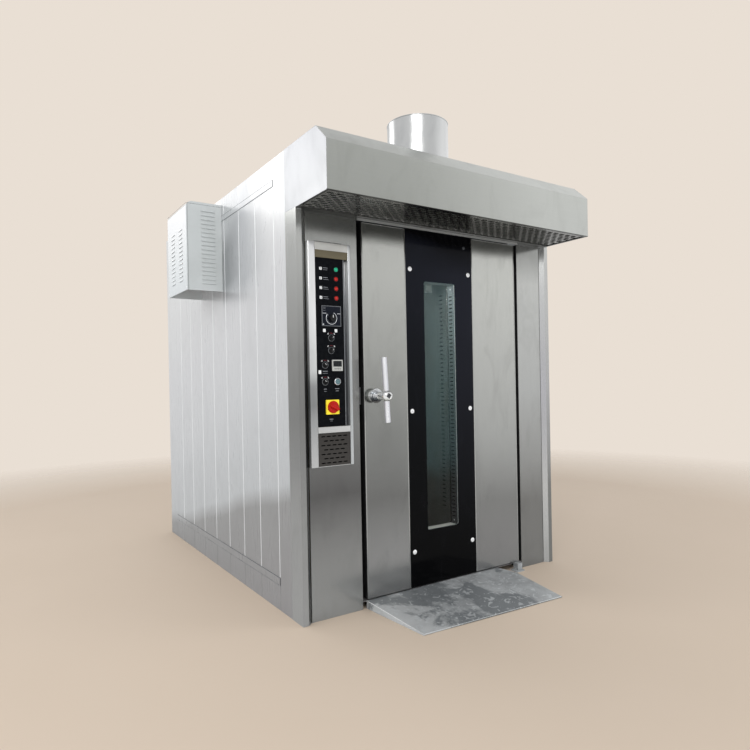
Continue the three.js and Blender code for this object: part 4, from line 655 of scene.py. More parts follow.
def stroke(points, y, width=1.4, depth=0.25):
    # flat printed or inlaid line on a plane that faces the door: a thin box section along points (x, z) in mm
    points = np.asarray(points, float)
    along = np.gradient(points, axis=0)
    along /= np.linalg.norm(along, axis=1, keepdims=True)
    aside = np.stack([-along[:, 1], along[:, 0]], -1) * width / 2
    left, right = points + aside, points - aside
    section = [(left, 0), (left, depth), (right, depth), (right, 0)]
    grid = np.stack([np.stack([side[:, 0], np.full(len(points), y - rise), side[:, 1]], -1)
        for side, rise in section], 1)
    grid = np.concatenate([grid[:1] * 0 + grid[:1].mean(1, keepdims=True), grid,
        grid[-1:] * 0 + grid[-1:].mean(1, keepdims=True)])
    return placed(grid), False, True


def arc(x, z, radius, start, end, count=24):  # points of a circle's arc, degrees clockwise from upright
    angle = np.radians(np.linspace(start, end, count))
    return np.stack([x + radius * np.sin(angle), z + radius * np.cos(angle)], -1)


# ---- exhaust collar: rolled steel pipe with a lapped seam, dents and a turned-over rim
collar = {"x": 761, "y": 31, "radius": 164.5, "wall": 3, "foot": 2300.3, "top": 2548, "bead": 2.6,
    "seamAt": 208, "seamLap": 9, "lapStep": 1.0, "dents": [(215, 2440, 1.3, 16, 45), (285, 2470, -1.1, 9, 30),
    (305, 2400, 1.2, 8, 40), (250, 2390, -0.8, 18, 50), (330, 2500, 1.0, 10, 24), (190, 2370, 0.9, 12, 35),
    (60, 2440, -1.2, 20, 60), (130, 2400, 0.9, 16, 40)]}


def exhaustCollar(c):
    # r(t, z) = radius + lap step + sum of bumps a exp(-((t - t0) / wt)^2 - ((z - z0) / wz)^2)
    rise = np.linspace(0, 1, 34)
    outer = [(0.0, z) for z in c["foot"] + rise * (c["top"] - c["foot"] - 2 * c["bead"])]
    bend = np.linspace(-np.pi / 2, np.pi / 2, 8)
    rim = [(c["bead"] * math.cos(t), c["top"] - c["bead"] + c["bead"] * math.sin(t)) for t in bend]
    inner = [(-c["wall"], z) for z in np.linspace(c["top"], c["foot"], 16)]
    profile = np.array(outer + rim + inner)
    degrees = np.linspace(0, 360, 220, endpoint=False)
    offset = np.zeros((len(profile), len(degrees)))
    for at, height, depth, wide, tall in c["dents"]:
        away = (degrees - at + 180) % 360 - 180
        offset += depth * np.exp(-((profile[:, 1:] - height) / tall) ** 2 - (away[None] / wide) ** 2)
    fade = np.clip((c["top"] - profile[:, 1:]) / 40, 0, 1)
    lap = 1 / (1 + np.exp(-(c["seamLap"] - np.abs((degrees - c["seamAt"] + 180) % 360 - 180)) * 1.6))
    radius = c["radius"] + profile[:, :1] + offset * fade + c["lapStep"] * lap[None] * (profile[:, :1] > -1)
    turn = np.radians(degrees)[None]
    grid = np.stack([c["x"] - radius * np.sin(turn), c["y"] - radius * np.cos(turn),
        profile[:, 1:] + 0 * turn], -1)
    return placed(grid), True, True


piece("exhaust_pipe", [exhaustCollar(collar)], "collar", "cabinet", 50, ["exhaust_collar"])
print("exhaust collar made")


# ---- hood grille: staggered rows of slots in a thin sheet
grille = {"pitch": (51.3, 25.5), "rows": 10, "slot": (19, 9.5), "corner": (17.67, 8.17), "margin": 15,
    "rear": 12}


def slottedSheet(field, outer, pitch, starts, plain, hole, levels):
    # a slotted cell is three rings of quads: from the cell's outline to the slot's, along the slot's wall and
    # back; plain half cells square off the rows, and a closed band joins the field to the sheet's rim
    p, r = pitch
    cell = np.array([(0, 0), (p / 4, 0), (p / 2, 0), (3 * p / 4, 0), (p, 0), (p, r / 2), (p, r),
        (3 * p / 4, r), (p / 2, r), (p / 4, r), (0, r), (0, r / 2)])
    rings = [(cell, levels[0]), (hole, levels[0]), (hole, levels[1]), (cell, levels[1])]
    points = np.stack([np.concatenate([starts[:, None] + ring, np.full((len(starts), 12, 1), level)], -1)
        for ring, level in rings], 1).reshape(-1, 3)
    index = np.arange(len(points)).reshape(-1, 4, 12)
    after = np.roll(index, -1, 2)
    faces = np.stack([index[:, :-1], after[:, :-1], after[:, 1:], index[:, 1:]], -1).reshape(-1, 4)

    half = np.stack(np.meshgrid((0, p / 4, p / 2), (0, r / 2, r), indexing="ij"), -1).reshape(-1, 2)
    flat = np.concatenate([np.concatenate([start + half, np.full((9, 1), level)], 1) for start in plain
        for level in levels])
    fill = np.concatenate([quads(3, 3, False, False, base) for base in range(0, len(flat), 9)]) + len(points)

    (low, high), (outerLow, outerHigh) = field, outer
    tx, ty = (np.arange(count) / count for count in np.rint((high - low) / (p / 4, r / 2)).astype(int))
    unit = np.concatenate([np.stack([tx, 0 * tx], -1), np.stack([0 * ty + 1, ty], -1),
        np.stack([1 - tx, 0 * tx + 1], -1), np.stack([0 * ty, 1 - ty], -1)])
    inner, rim = (unit * (b - a) + a for a, b in ((low, high), (outerLow, outerHigh)))
    loops = [(inner, levels[0]), (rim, levels[0]), (rim, levels[1]), (inner, levels[1])]
    edge = np.concatenate([np.concatenate([loop, np.full((len(unit), 1), level)], 1)
        for loop, level in loops])
    band = quads(4, len(unit), False, True, len(points) + len(flat))
    return np.concatenate([points, flat, edge]), np.concatenate([faces, fill, band])


def slotOutline(pitch, slot, corner, side):
    # twelve points round a slot in the middle of its cell: half its width and depth, its corner, its ends
    (a, b), (x, y) = slot, corner
    return np.array([(-x, -y), (-a / 2, -b), (0, -b), (a / 2, -b), (x, -y), (side, 0), (x, y), (a / 2, b),
        (0, b), (-a / 2, b), (-x, y), (-side, 0)]) + np.array(pitch) / 2


def hoodGrille(g):
    # alternate rows start half a cell later
    low, high = (np.array(corner) * 1000 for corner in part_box("hood_grille"))
    p, r = g["pitch"]
    rows = range(g["rows"])
    count = int((high[0] - low[0] - 2 * g["margin"]) / p - 0.5)
    size = np.array([(count + 0.5) * p, len(rows) * r])
    start = np.array([(low[0] + high[0] - size[0]) / 2, high[1] - g["rear"] - size[1]])
    starts = np.array([start + ((i + j % 2 / 2) * p, j * r) for j in rows for i in range(count)])
    plain = [start + ((1 - j % 2) * count * p, j * r) for j in rows]
    hole = slotOutline(g["pitch"], g["slot"], g["corner"], g["slot"][0])
    points, faces = slottedSheet((start, start + size), (low[:2], high[:2]), g["pitch"], starts, plain, hole,
        (low[2], high[2]))
    return points / 1000, faces


sheet, holes = hoodGrille(grille)
finished("slotted_hood_grille", sheet, holes, "grille", "cabinet", 30, ["hood_grille"])
print("hood grille made")


# ---- door: bent edges of the steel strips, glass bolts, lock button, window reveal
doorParts = {"low": 48, "high": 1976, "face": 20, "edges": [(377, 383), (647, 653), (1127, 1133),
    (1468, 1474)], "boltX": (682.5, 1099), "boltZ": (237, 997, 1763), "boltRadius": 12.8,
    "lock": (1070, 1915), "window": (777, 1002.5, 339, 1705), "windowCorner": 14, "revealFrom": 29.5,
    "revealTo": 84}


def doorDetail(d):
    y = d["face"]
    strips = [block((x0, y - 0.7, d["low"] + 0.5), (x1, y + 0.5, d["high"] - 0.2), 0.35, 0.5, 2)
        for x0, x1 in d["edges"]]
    strips += [block((x0, y - 0.7, d["high"] - 4.5), (x1, y + 0.5, d["high"] - 0.2), 0.35, 0.5, 0)
        for x0, x1 in ((383, 647), (1133, 1468))]
    piece("door_bent_edges", strips, "brightEdge", "door")
    spots = [spot(x, y + 1, z) for x in d["boltX"] for z in d["boltZ"]]
    ring = d["boltRadius"]
    piece("bolt_washers", [turned([(0, -0.5), (ring + 3.2, -0.5), (ring + 3.2, 0.9), (ring + 2.6, 1.4),
        (0, 1.4)], at) for at in spots], "rubber", "door")
    bend = np.radians(np.linspace(8, 84, 9))
    dome = [(0, 0.9), (ring, 0.9)] + [(ring * math.cos(t), 1.4 + 5.0 * math.sin(t)) for t in bend]
    dome += [(3.4, 6.35), (3.0, 5.2), (0, 5.2)]
    piece("bolt_domes", [turned(dome, at, sides=40) for at in spots], "boltChrome", "door")
    x, z = d["lock"]
    piece("lock_button", [turned([(0, -0.5), (9, -0.5), (9, 1.2), (7.5, 1.8), (5, 1.2), (4.2, 1.6), (0, 1.9)],
        spot(x, y + 1, z))], "lockGrey", "door")


def windowReveal(d):
    # four loops of the window's outline: the outer wall forwards, the inner wall back again
    x0, x1, z0, z1 = d["window"]
    rows = [(0.3, d["revealFrom"]), (0.3, d["revealTo"]), (1.5, d["revealTo"]), (1.5, d["revealFrom"])]
    loops = []
    for inset, y in rows:
        ring = roundedLoop((x1 - x0) / 2 - inset, (z1 - z0) / 2 - inset, d["windowCorner"] - inset, 8)
        loops.append(upright(ring, y, (x0 + x1) / 2, (z0 + z1) / 2))
    return np.stack(loops), True, True


doorDetail(doorParts)
piece("window_reveal", [windowReveal(doorParts)], "reveal", "door")


# measured from the window's lower and upper edge
revealParts = {"screwY": 62, "screwZ": (20, -26), "slotY": (49, 77), "slotZ": (44, -50), "slotPitch": 22.0,
    "slotHalf": 3.4, "ledgeInset": 12, "ledgeTall": 1.4, "lip": 1.5, "lipInset": 1.6}


def revealTrim(d, r):
    # on the reveal's right wall a column of cooling slots between two screws, each slot a dark inset that
    # paints the shade of its depth; a plain ledge, painted lighter at the foot, and a lip with a painted
    # highlight
    x0, x1, z0, z1 = d["window"]
    above, below = r["screwZ"]
    head = [(0, 0), (3.4, 0), (3.4, 0.8), (2.2, 1.6), (0, 1.8)]
    screws = [turned(head, spot(x1 - 1.5, r["screwY"], z), "-x", 20) for z in (z0 + above, z1 + below)]
    piece("reveal_screws", screws, "boltChrome", "door")
    (near, far), (above, below), half = r["slotY"], r["slotZ"], r["slotHalf"]
    slots = [block((x1 - 2.1, near, z - half), (x1 - 1.2, far, z + half), 0.2, 2.8, 0, 4)
        for z in np.arange(z0 + above, z1 + below, r["slotPitch"])]
    piece("reveal_slots", slots, "dark", "door")
    inset, tall = r["ledgeInset"], r["ledgeTall"]
    ledges = [block((x0 + inset, d["revealFrom"] + 0.3, z), (x1 - inset, d["revealTo"] - 0.3, z + tall), 0.3)
        for z in (z0 + 1, z1 - 1 - tall)]
    piece("reveal_ledge", ledges, "ledge", "door")
    inset = r["lipInset"]
    path = roundedLoop((x1 - x0) / 2 - inset, (z1 - z0) / 2 - inset, d["windowCorner"] - inset, 8)
    ring = upright(path, d["revealFrom"], (x0 + x1) / 2, (z0 + z1) / 2)
    piece("reveal_lip", [tube(ring, r["lip"], 10, True)], "lipSteel", "door", 60)


revealTrim(doorParts, revealParts)


# ---- air duct: painted shade, a dark plate behind each slot column, and shadow in the joints between its strips
duct = {"face": 1511.5, "sheet": 2, "columns": (660, 758), "joints": (611, 709, 807), "low": 255,
    "high": 1900}


def ductShades(d):
    behind, face = d["face"] + d["sheet"] + 1, d["face"]
    columns = [block((behind, y - 22, d["low"]), (behind + 1.5, y + 22, d["high"]), 0.3)
        for y in d["columns"]]
    piece("duct_slot_shades", columns, "ductShade")
    joints = [block((face + 0.2, y - 3.2, d["low"] - 200), (face + 1.4, y + 3.2, d["high"] + 120), 0.2)
        for y in d["joints"]]
    piece("duct_joint_shades", joints, "dark")


ductShades(duct)


# ---- dark rubber strips down both sides of the door gap and under the head strip, painted shade in the gap
gapShades = {"low": 46, "high": 1978, "front": 25, "back": 112, "sides": [(349.2, 350.0), (376.0, 376.8),
    (1501.2, 1502.0)], "head": [(350, 13, 1978.5), (1501, 100, 1979.4)], "doorY": (23, 98),
    "doorZ": (50, 1974), "play": 1.5}


def gapShadeStrips(g):
    fixed = [block((x0, g["front"], g["low"]), (x1, g["back"], g["high"]), 0.2) for x0, x1 in g["sides"][::2]]
    fixed.append(block(*g["head"], 0.2))
    piece("gap_shade_strips", fixed, "rubber")
    # on the door's edge the shade strip leaves a window for the latch bolt to slide through
    x0, x1 = g["sides"][1]
    (_, y0, z0), (_, y1, z1) = (np.array(corner) * 1000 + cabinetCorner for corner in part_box("latch_bolt"))
    (front, back), (low, high), play = g["doorY"], g["doorZ"], g["play"]
    around = [(front, back, low, z0 - play), (front, back, z1 + play, high),
        (front, y0 - play, z0 - play, z1 + play), (y1 + play, back, z0 - play, z1 + play)]
    piece("door_side_shade_strip", [block((x0, ya, za), (x1, yb, zb), 0.2) for ya, yb, za, zb in around], "rubber",
        "door")


gapShadeStrips(gapShades)
print("door details made")


# ---- T handle: spindle and ball with a square socket, bar through the ball, flanged collar on the door
handle = {"x": 433, "z": 1088, "base": 19.7, "collar": 54, "ball": 28.8, "reach": 122, "barReach": 119.5,
    "spindle": 19, "bar": 14.8, "above": 193, "below": 134, "lean": -3.1, "socket": 11.2, "socketDepth": 9,
    "socketTurn": 38}


def tHandle(h):
    # the hub is one set of loops along the spindle's axis: circles, then a square for the socket's walls
    foot = h["base"] - h["collar"] - 0.3
    ballY = 20 - h["reach"]
    reach = foot - ballY
    neck = math.sqrt(h["ball"] ** 2 - h["spindle"] ** 2)
    rows = [(0, -11.5), (8, -11.5), (8, 0), (h["spindle"] - 0.6, 0), (h["spindle"], 0.6), (h["spindle"], 8),
        (h["spindle"] - 1.2, 9.5), (h["spindle"] - 1.2, reach - neck - 1.5), (h["spindle"], reach - neck)]
    rows += [(h["ball"] * math.cos(t), reach + h["ball"] * math.sin(t))
        for t in np.linspace(-math.acos(h["spindle"] / h["ball"]) + 0.04, math.radians(52), 22)]
    rows += [(h["ball"] * 0.61, reach + h["ball"] * 0.79)]
    angle = np.linspace(0, 2 * np.pi, 64, endpoint=False)
    circle = np.stack([np.cos(angle), np.sin(angle)], -1)
    square = circle / np.abs(circle).max(1, keepdims=True)
    loops = [np.stack([r * circle[:, 0], 0 * angle - height, r * circle[:, 1]], -1) for r, height in rows]
    face = rows[-1][1]
    for size, height in ((h["socket"] + 0.8, face), (h["socket"], face - 0.8),
            (h["socket"], face - h["socketDepth"]), (0, face - h["socketDepth"])):
        loops.append(np.stack([size * square[:, 0], 0 * angle - height, size * square[:, 1]], -1))
    hub = np.stack(loops) / 1000 + spot(h["x"], foot, h["z"]), False, True
    hub = swung(hub, h["socketTurn"], spot(h["x"], foot, h["z"]))
    piece("handle_hub", [hub], "ballChrome", "handle", 30, ["t_handle"])
    r, top, low = h["bar"], h["above"], -h["below"]
    ease = [(r - 1.8 + 1.8 * math.sin(t), 1.8 - 1.8 * math.cos(t)) for t in np.linspace(0, np.pi / 2, 5)]
    profile = [(0, low)] + [(a, low + b) for a, b in ease] + [(a, top - b)
        for a, b in reversed(ease)] + [(0, top)]
    middle = spot(h["x"], 20 - h["barReach"], h["z"])
    bar = swung(turned(profile, middle, "z", 48), h["lean"], middle)
    piece("handle_bar", [bar], "barSteel", "handle", 50)
    floor = ballY - h["ball"] * 0.79 + h["socketDepth"]
    plug = block((h["x"] - 10.4, floor - 2, h["z"] - 10.4), (h["x"] + 10.4, floor - 0.4, h["z"] + 10.4), 0.4)
    piece("handle_socket", [swung(plug, h["socketTurn"], spot(h["x"], foot, h["z"]))], "lockGrey",
        "handle")
    at = spot(h["x"], h["base"], h["z"])
    flange = [(0, 0), (31, 0), (31, 3), (30, 4), (30, 20), (28.6, 21), (0, 21)]
    rings = [(0, 20.8), (28.6, 20.8), (30, 23), (35.8, 23.6), (37.5, 25.2), (37.5, 29), (36, 30.6),
        (31.5, 31.2), (30.2, 32.2), (30.2, 35), (27.2, 36), (27.2, 38.4), (29.8, 39.4), (29.8, 43),
        (26.4, 44.2), (24.4, 46), (24.4, 48), (26.2, 49), (26.2, 51.4), (23, 53), (21.5, 54), (0, 54)]
    piece("handle_flange", [turned(flange, at, sides=72)], "flangeSteel", "door", 28)
    piece("handle_collar", [turned(rings, at, sides=72)], "handle", "door", 28,
        ["escutcheon"])


tHandle(handle)
print("handle made")


# ---- control column: rails, tray bars, vent sheet, strip, plate edge
column = {"low": 750, "high": 1842, "face": -5, "back": 22.2, "leftRail": (58, 97), "rightRail": (279, 296),
    "topBar": 39, "midBar": (914, 944), "plateTop": 1768, "plateEdge": (255.5, 259.5), "stripY": (2.5, 8),
    "stripLean": 0.18, "ventShade": [(98, 16, 754), (278, 18.5, 912)], "vent": (752.5, 912),
    "ventSlot": (11.5, 3), "ventCorner": (11.5, 1.8), "ventPitch": (31, 21.5), "ventRows": 7,
    "ventLevels": (1.0, 3.0)}


def controlColumn(c):
    inner, outer = c["leftRail"][1] + 0.3, c["rightRail"][0] - 0.3
    for name, node, (x0, x1) in (("rail_left", "left_rail", c["leftRail"]),
            ("rail_right", "right_rail", c["rightRail"])):
        piece(name, [block((x0, c["face"], c["low"]), (x1, c["back"], c["high"]), 1.5, 4.0, 2, 7)], "rail",
            "cabinet", 40, [node])
    top = c["high"] - c["topBar"]
    bars = [block((inner, c["face"] + 1, top), (outer, c["back"], c["high"]), 1.2, axis=0),
        block((inner, c["face"] + 1, c["midBar"][0]), (outer, c["back"], c["midBar"][1]), 1.5, axis=0),
        block((inner, 1, c["low"]), (outer, c["back"], c["low"] + 3), 0.4)]
    piece("tray_bars", bars, "tray", "cabinet", 40, ["control_box"])
    back = block((inner, c["back"] - 3, c["low"]), (outer, c["back"], c["high"] - 2), 0.3)
    piece("tray_back", [back], "trayBack")
    # sloping strip between the top bar and the plate, leaning forwards to its upper edge; its brownish tone
    # is a painted reflection of the floor
    near, far = c["stripY"]
    slope = block((inner, near, c["plateTop"]), (outer, far, top), 0.3)
    grid = slope[0].copy()
    grid[..., 1] -= (grid[..., 2] - c["plateTop"] / 1000) * c["stripLean"]
    piece("sloping_strip", [(grid, False, True)], "strip")
    # a dark block in the gap above the top bar: painted shade
    piece("top_gap_shade", [block((inner + 6, 10, c["high"] + 0.2), (outer - 24, c["back"], c["high"] + 5.5), 0.4)],
        "dark")
    x0, x1 = c["plateEdge"]
    edge = block((x0, 3.6, c["midBar"][1] + 1.6), (x1, 6, c["plateTop"] - 0.5), 0.4, 0.5, 2)
    piece("plate_edge", [edge], "plateEdge")


def ventSheet(c):
    # rows of five and four slots by turns
    x0, x1 = c["leftRail"][1] + 0.4, c["rightRail"][0] - 0.4
    z0, z1 = c["vent"]
    p, r = c["ventPitch"]
    rows = c["ventRows"]
    size = np.array([5 * p, rows * r])
    low = (np.array([x0 + x1, z0 + z1]) - size) / 2
    starts = np.array([low + ((i + row % 2 / 2) * p, row * r) for row in range(rows)
        for i in range(5 - row % 2)])
    plain = [low + (start, row * r) for row in range(1, rows, 2) for start in (0, 4.5 * p)]
    hole = slotOutline(c["ventPitch"], c["ventSlot"], c["ventCorner"], c["ventSlot"][0] + 1)
    points, faces = slottedSheet((low, low + size), np.array([(x0, z0), (x1, z1)]), c["ventPitch"], starts,
        plain, hole, c["ventLevels"])
    return placed(points[:, (0, 2, 1)]), faces


controlColumn(column)
ventPoints, ventFaces = ventSheet(column)
finished("vent_sheet", ventPoints, ventFaces, "vent", "cabinet", 30)
# a dark plate behind the vent sheet: painted shade in its slots
piece("vent_shade", [block(*column["ventShade"], 0.3)], "dark")
print("control column made")


# ---- controls
plateY = 4.7  # front of the control plate
lamps = {"x": 215, "z": (1715, 1668, 1621, 1574), "radius": 11, "tagX": 130, "tag": 7}
digits = {1: [(-0.18, 0.28), (0.05, 0.5), (0.05, -0.5)], 2: [(-0.3, 0.28), (-0.15, 0.5), (0.15, 0.5),
    (0.3, 0.28), (0.25, 0.05), (-0.3, -0.5), (0.32, -0.5)], 3: [(-0.3, 0.5), (0.28, 0.5), (0.0, 0.12),
    (0.26, -0.05), (0.28, -0.32), (0.1, -0.5), (-0.3, -0.45)], 4: [(0.14, -0.5), (0.14, 0.5), (-0.32, -0.18),
    (0.34, -0.18)]}


def signalLamps(d):
    tags, marks, lines, rings = [], [], [], []
    for i, z in enumerate(d["z"]):
        centre = spot(d["x"], plateY, z)
        r = d["radius"]
        rings.append(turned([(r - 0.6, 0), (r + 3, 0), (r + 3, 1.2), (r + 1.6, 2.6), (r - 0.2, 2.6),
            (r - 0.6, 0)], centre))
        rib = [(r - 0.4, 2.4), (r - 0.6, 3.6), (r - 1.6, 4.4), (r - 1.9, 5.6), (r - 3.2, 6.2), (r - 3.5, 7.2),
            (r - 5.2, 7.7), (r - 5.6, 8.4), (r - 8, 8.8), (0, 9)]
        piece(f"signal_lamp_{i + 1}", [turned([(0, 0.2), (r - 0.4, 0.2)] + rib, centre)],
            "lampRed" if i else "lampGreen", "cabinet", 60,
            [f"lamp_{i + 1}"])
        half = d["tag"]
        tags.append(block((d["tagX"] - half, plateY - 0.7, z - half), (d["tagX"] + half, plateY, z + half),
            0.25, 2.2))
        curve = np.array(digits[i + 1]) * 9.4
        marks.append(stroke(curve + (d["tagX"], z), plateY - 0.7, 1.7, 0.15))
        lines += [stroke([(d["tagX"] + 14, z + 4), (d["tagX"] + 39, z + 4)], plateY, 2.0, 0.15),
            stroke([(d["tagX"] + 14, z - 5), (d["tagX"] + (43 if i else 38), z - 5)], plateY, 1.4, 0.15)]
    piece("lamp_rings", rings, "knobBlack")
    return tags, marks, lines


def knobFor(name, body, node, x, z, turn, radius, depth):
    # skirt turned about the spindle with a shallow knurl, and a rounded grip with a white line along it and a
    # white strip down one side of the grip, a painted highlight
    centre = spot(x, plateY, z)
    skirt = turned([(0, 0.2), (radius * 0.97, 0.2), (radius, 1), (radius, depth * 0.3),
        (radius * 0.93, depth * 0.42), (radius * 0.8, depth * 0.5), (0, depth * 0.5)], centre, sides=72,
        ripple=lambda angle: 1 - 0.012 * (1 + np.cos(24 * angle)))
    grip = block((x - radius * 0.3, plateY - depth, z - radius * 0.82),
        (x + radius * 0.3, plateY - depth * 0.4, z + radius * 0.97), 1.4, radius * 0.29, 1, 7)
    line = block((x - 0.8, plateY - depth - 0.2, z + radius * 0.05), (x + 0.8, plateY - depth + 0.6,
        z + radius * 0.86), 0.15, 0.5)
    # painted highlight down the grip's side
    side = block((x + radius * 0.2, plateY - depth * 0.93, z - radius * 0.3),
        (x + radius * 0.32, plateY - depth * 0.6, z + radius * 0.8), 0.3, 0.4)
    piece(f"{name}_body", [skirt, swung(grip, turn, centre)], "knobBlack", body, 34, [node])
    piece(f"{name}_line", [swung(line, turn, centre), swung(side, turn, centre)], "white",
        body)


selectors = [(183, 1378, 45), (182, 1317, 45), (146, 1245, -45), (145, 1163, -45)]
# tags are (left, low, right, top, corner radius), lines (left, right, height, width)
plateMarks = {"tags": [(137.5, 1406, 152.5, 1422, 2.5), (202.5, 1406, 217.5, 1422, 2.5),
    (109, 1202, 123.5, 1220, 2)], "lines": [(132, 160, 1215, 2.4), (132, 159, 1205, 1.4),
    (137, 153, 1128, 2.6), (139, 151, 1117, 1.5), (199, 223, 1129, 2.6), (203, 219, 1118, 2.6),
    (166, 186, 980, 2.6), (170, 182, 971, 1.5)]}


def controls():
    tags, marks, lines = signalLamps(lamps)
    redMarks, rings, arcs = [], [], []
    for i, (x, z, turn) in enumerate(selectors):
        knobFor(f"selector_{i + 1}", f"selector_{i + 1}", f"selector_knob_{i + 1}", x, z, turn, 13, 15)
        rings.append(turned([(14.2, 0), (17.6, 0), (17.6, 0.8), (16.6, 1.9), (15, 1.9), (14.2, 0.8),
            (14.2, 0)], spot(x, plateY, z), sides=56))
        for side in (-1, 1):
            arcs.append(stroke(arc(x, z, 28, side * 30, side * 50, 6), plateY, 2.4, 0.15))
            arcs.append(stroke([(x + side * 20, z + 22), (x + side * 15, z + 16)], plateY, 1.8, 0.15))
        redMarks.append(stroke(arc(x, z, 24, -20, 20, 12), plateY, 2.2, 0.15))
    tags += [block((x0, plateY - 0.7, z0), (x1, plateY, z1), 0.25, corner)
        for x0, z0, x1, z1, corner in plateMarks["tags"]]
    lines += [stroke([(x0, z), (x1, z)], plateY, width, 0.15) for x0, x1, z, width in plateMarks["lines"]]
    piece("number_tags", tags, "white")
    piece("tag_numbers", marks, "ink")
    piece("plate_lines", lines, "dimPrint")
    piece("selector_arcs", arcs, "white")
    piece("plate_red_marks", redMarks, "markRed")
    piece("selector_rings", rings, "ringSteel")


controls()


# ---- timer: black plate in a bright border, open ring round the dial, ribbed knob
timer = {"x": 183, "z": 1485, "wide": 108, "tall": 100, "depth": 6, "dialX": 183, "dialZ": 1474, "ring": 29,
    "printZ": (1526, 1519, 1511), "shelf": (1496, 1499), "lift": 2.3, "grip": 16}


def timerUnit(t):
    x0, x1 = t["x"] - t["wide"] / 2, t["x"] + t["wide"] / 2
    z0, z1 = t["z"] - t["tall"] / 2, t["z"] + t["tall"] / 2
    front = plateY - t["depth"]
    piece("timer_body", [block((x0, front + 0.8, z0), (x1, plateY, z1), 0.8, 4)], "timerBlack",
        "cabinet", 34, ["timer_plate"])
    border = [block((x0, front - 0.3, z0), (x0 + 4.5, front + 2, z1), 0.4, 1),
        block((x1 - 3, front - 0.3, z0), (x1, front + 2, z1), 0.4, 1),
        block((x0 + 4, front - 0.3, z1 - 3.5), (x1 - 3, front + 2, z1), 0.4, 1),
        block((x0 + 4, front - 0.3, z0), (x1 - 3, front + 2, z0 + 3.5), 0.4, 1)]
    corner = block((x0 + 5, front + 0.2, z0 + 5), (x0 + 12, front + 1.2, z0 + 12), 0.3, 2)
    piece("timer_border", border, "ringSteel")
    path = upright(arc(t["dialX"], t["dialZ"], t["ring"], 24, 312, 60), front + 0.2)
    bright = [tube(path, 2.3, 12), corner]
    low, high = t["shelf"]
    for a, b in ((x0 + 4.5, t["dialX"] - t["ring"] + 1), (t["dialX"] + t["ring"] + 3, x1 - 3)):
        bright.append(block((a, front - 0.1, low), (b, front + 1, high), 0.3, 0.6))
    piece("timer_ring", bright, "ringBright", "cabinet", 40)
    ticks = []
    for angle in np.linspace(30, 306, 12):
        s, c = math.sin(math.radians(angle)), math.cos(math.radians(angle))
        ticks.append(stroke([(t["dialX"] + 20.5 * s, t["dialZ"] + 20.5 * c),
            (t["dialX"] + 24 * s, t["dialZ"] + 24 * c)], front + 0.8, 1.2, 0.2))
    for z in t["printZ"]:
        ticks.append(stroke([(x0 + 9, z), (x0 + 22, z)], front + 0.8, 1.2, 0.2))
    piece("timer_ticks", ticks, "dimPrint")
    centre = spot(t["dialX"], front - t["lift"], t["dialZ"])
    body = turned([(0, 0), (17.4, 0), (18, 0.8), (17.2, 6), (16.6, 13), (15.4, 15.2), (12, t["grip"]),
        (0, t["grip"])], centre, sides=96, ripple=lambda angle: 1 - 0.022 * (1 + np.cos(20 * angle)))
    piece("timer_grip", [body], "knobBlack", "timer_dial", 34, ["timer_knob"])
    x, z, y = t["dialX"], t["dialZ"], front - t["lift"] - t["grip"]
    pointer = [block((x - 1.6, y - 0.3, z + 2), (x + 1.6, y + 0.6, z + 14.5), 0.2, 0.8)]
    piece("timer_pointer", pointer, "white", "timer_dial")


timerUnit(timer)


# ---- temperature display: screen with unlit figures, four keys
display = {"x": 213, "z": 1243.5, "wide": 59, "tall": 55, "front": -0.3}


def displayUnit(d):
    x0, x1 = d["x"] - d["wide"] / 2, d["x"] + d["wide"] / 2
    z0, z1 = d["z"] - d["tall"] / 2, d["z"] + d["tall"] / 2
    screen = block((x0 + 5.5, d["front"] - 0.5, z0 + 22), (x1 - 5.5, d["front"] + 1.6, z1 - 5.5), 0.3, 1.2)
    lower = block((x0 + 5, d["front"] - 0.4, z0 + 3), (x1 - 5, d["front"] + 1.6, z0 + 19.5), 0.5, 1.6)
    piece("display_screen", [screen], "screen")
    piece("display_lower", [lower], "displayGrey")
    bars = []
    for rowZ, size in ((z1 - 14, 4.6), (z1 - 25.5, 3.6)):
        for i in range(4):
            cx = d["x"] + (i - 1.5) * 9.4
            w, h = size * 0.55, size
            for a, b in (((-w, h), (w, h)), ((-w, 0), (w, 0)), ((-w, -h), (w, -h)), ((-w, h), (-w, 0)),
                    ((w, h), (w, 0)), ((-w, 0), (-w, -h)), ((w, 0), (w, -h))):
                bars.append(stroke([(cx + a[0], rowZ + a[1]), (cx + b[0], rowZ + b[1])], d["front"] - 0.5,
                    0.7, 0.1))
    piece("display_figures", bars, "unlit")
    keys = [block((d["x"] + (i - 1.5) * 9.6 - 3.6, d["front"] - 1.1, z0 + 8),
        (d["x"] + (i - 1.5) * 9.6 + 3.6, d["front"], z0 + 13), 0.4, 1.6) for i in range(4)]
    piece("display_keys", keys, "keyGrey")


displayUnit(display)


# ---- start button and main switch
button = {"x": 213, "z": 1164, "ring": 18.4, "bore": 14.2, "cap": 13.6}
mainSwitch = {"x": 181, "z": 1039.5, "base": -3.6, "radius": 30, "depth": 26, "turn": -60, "mark": (-27, -11)}


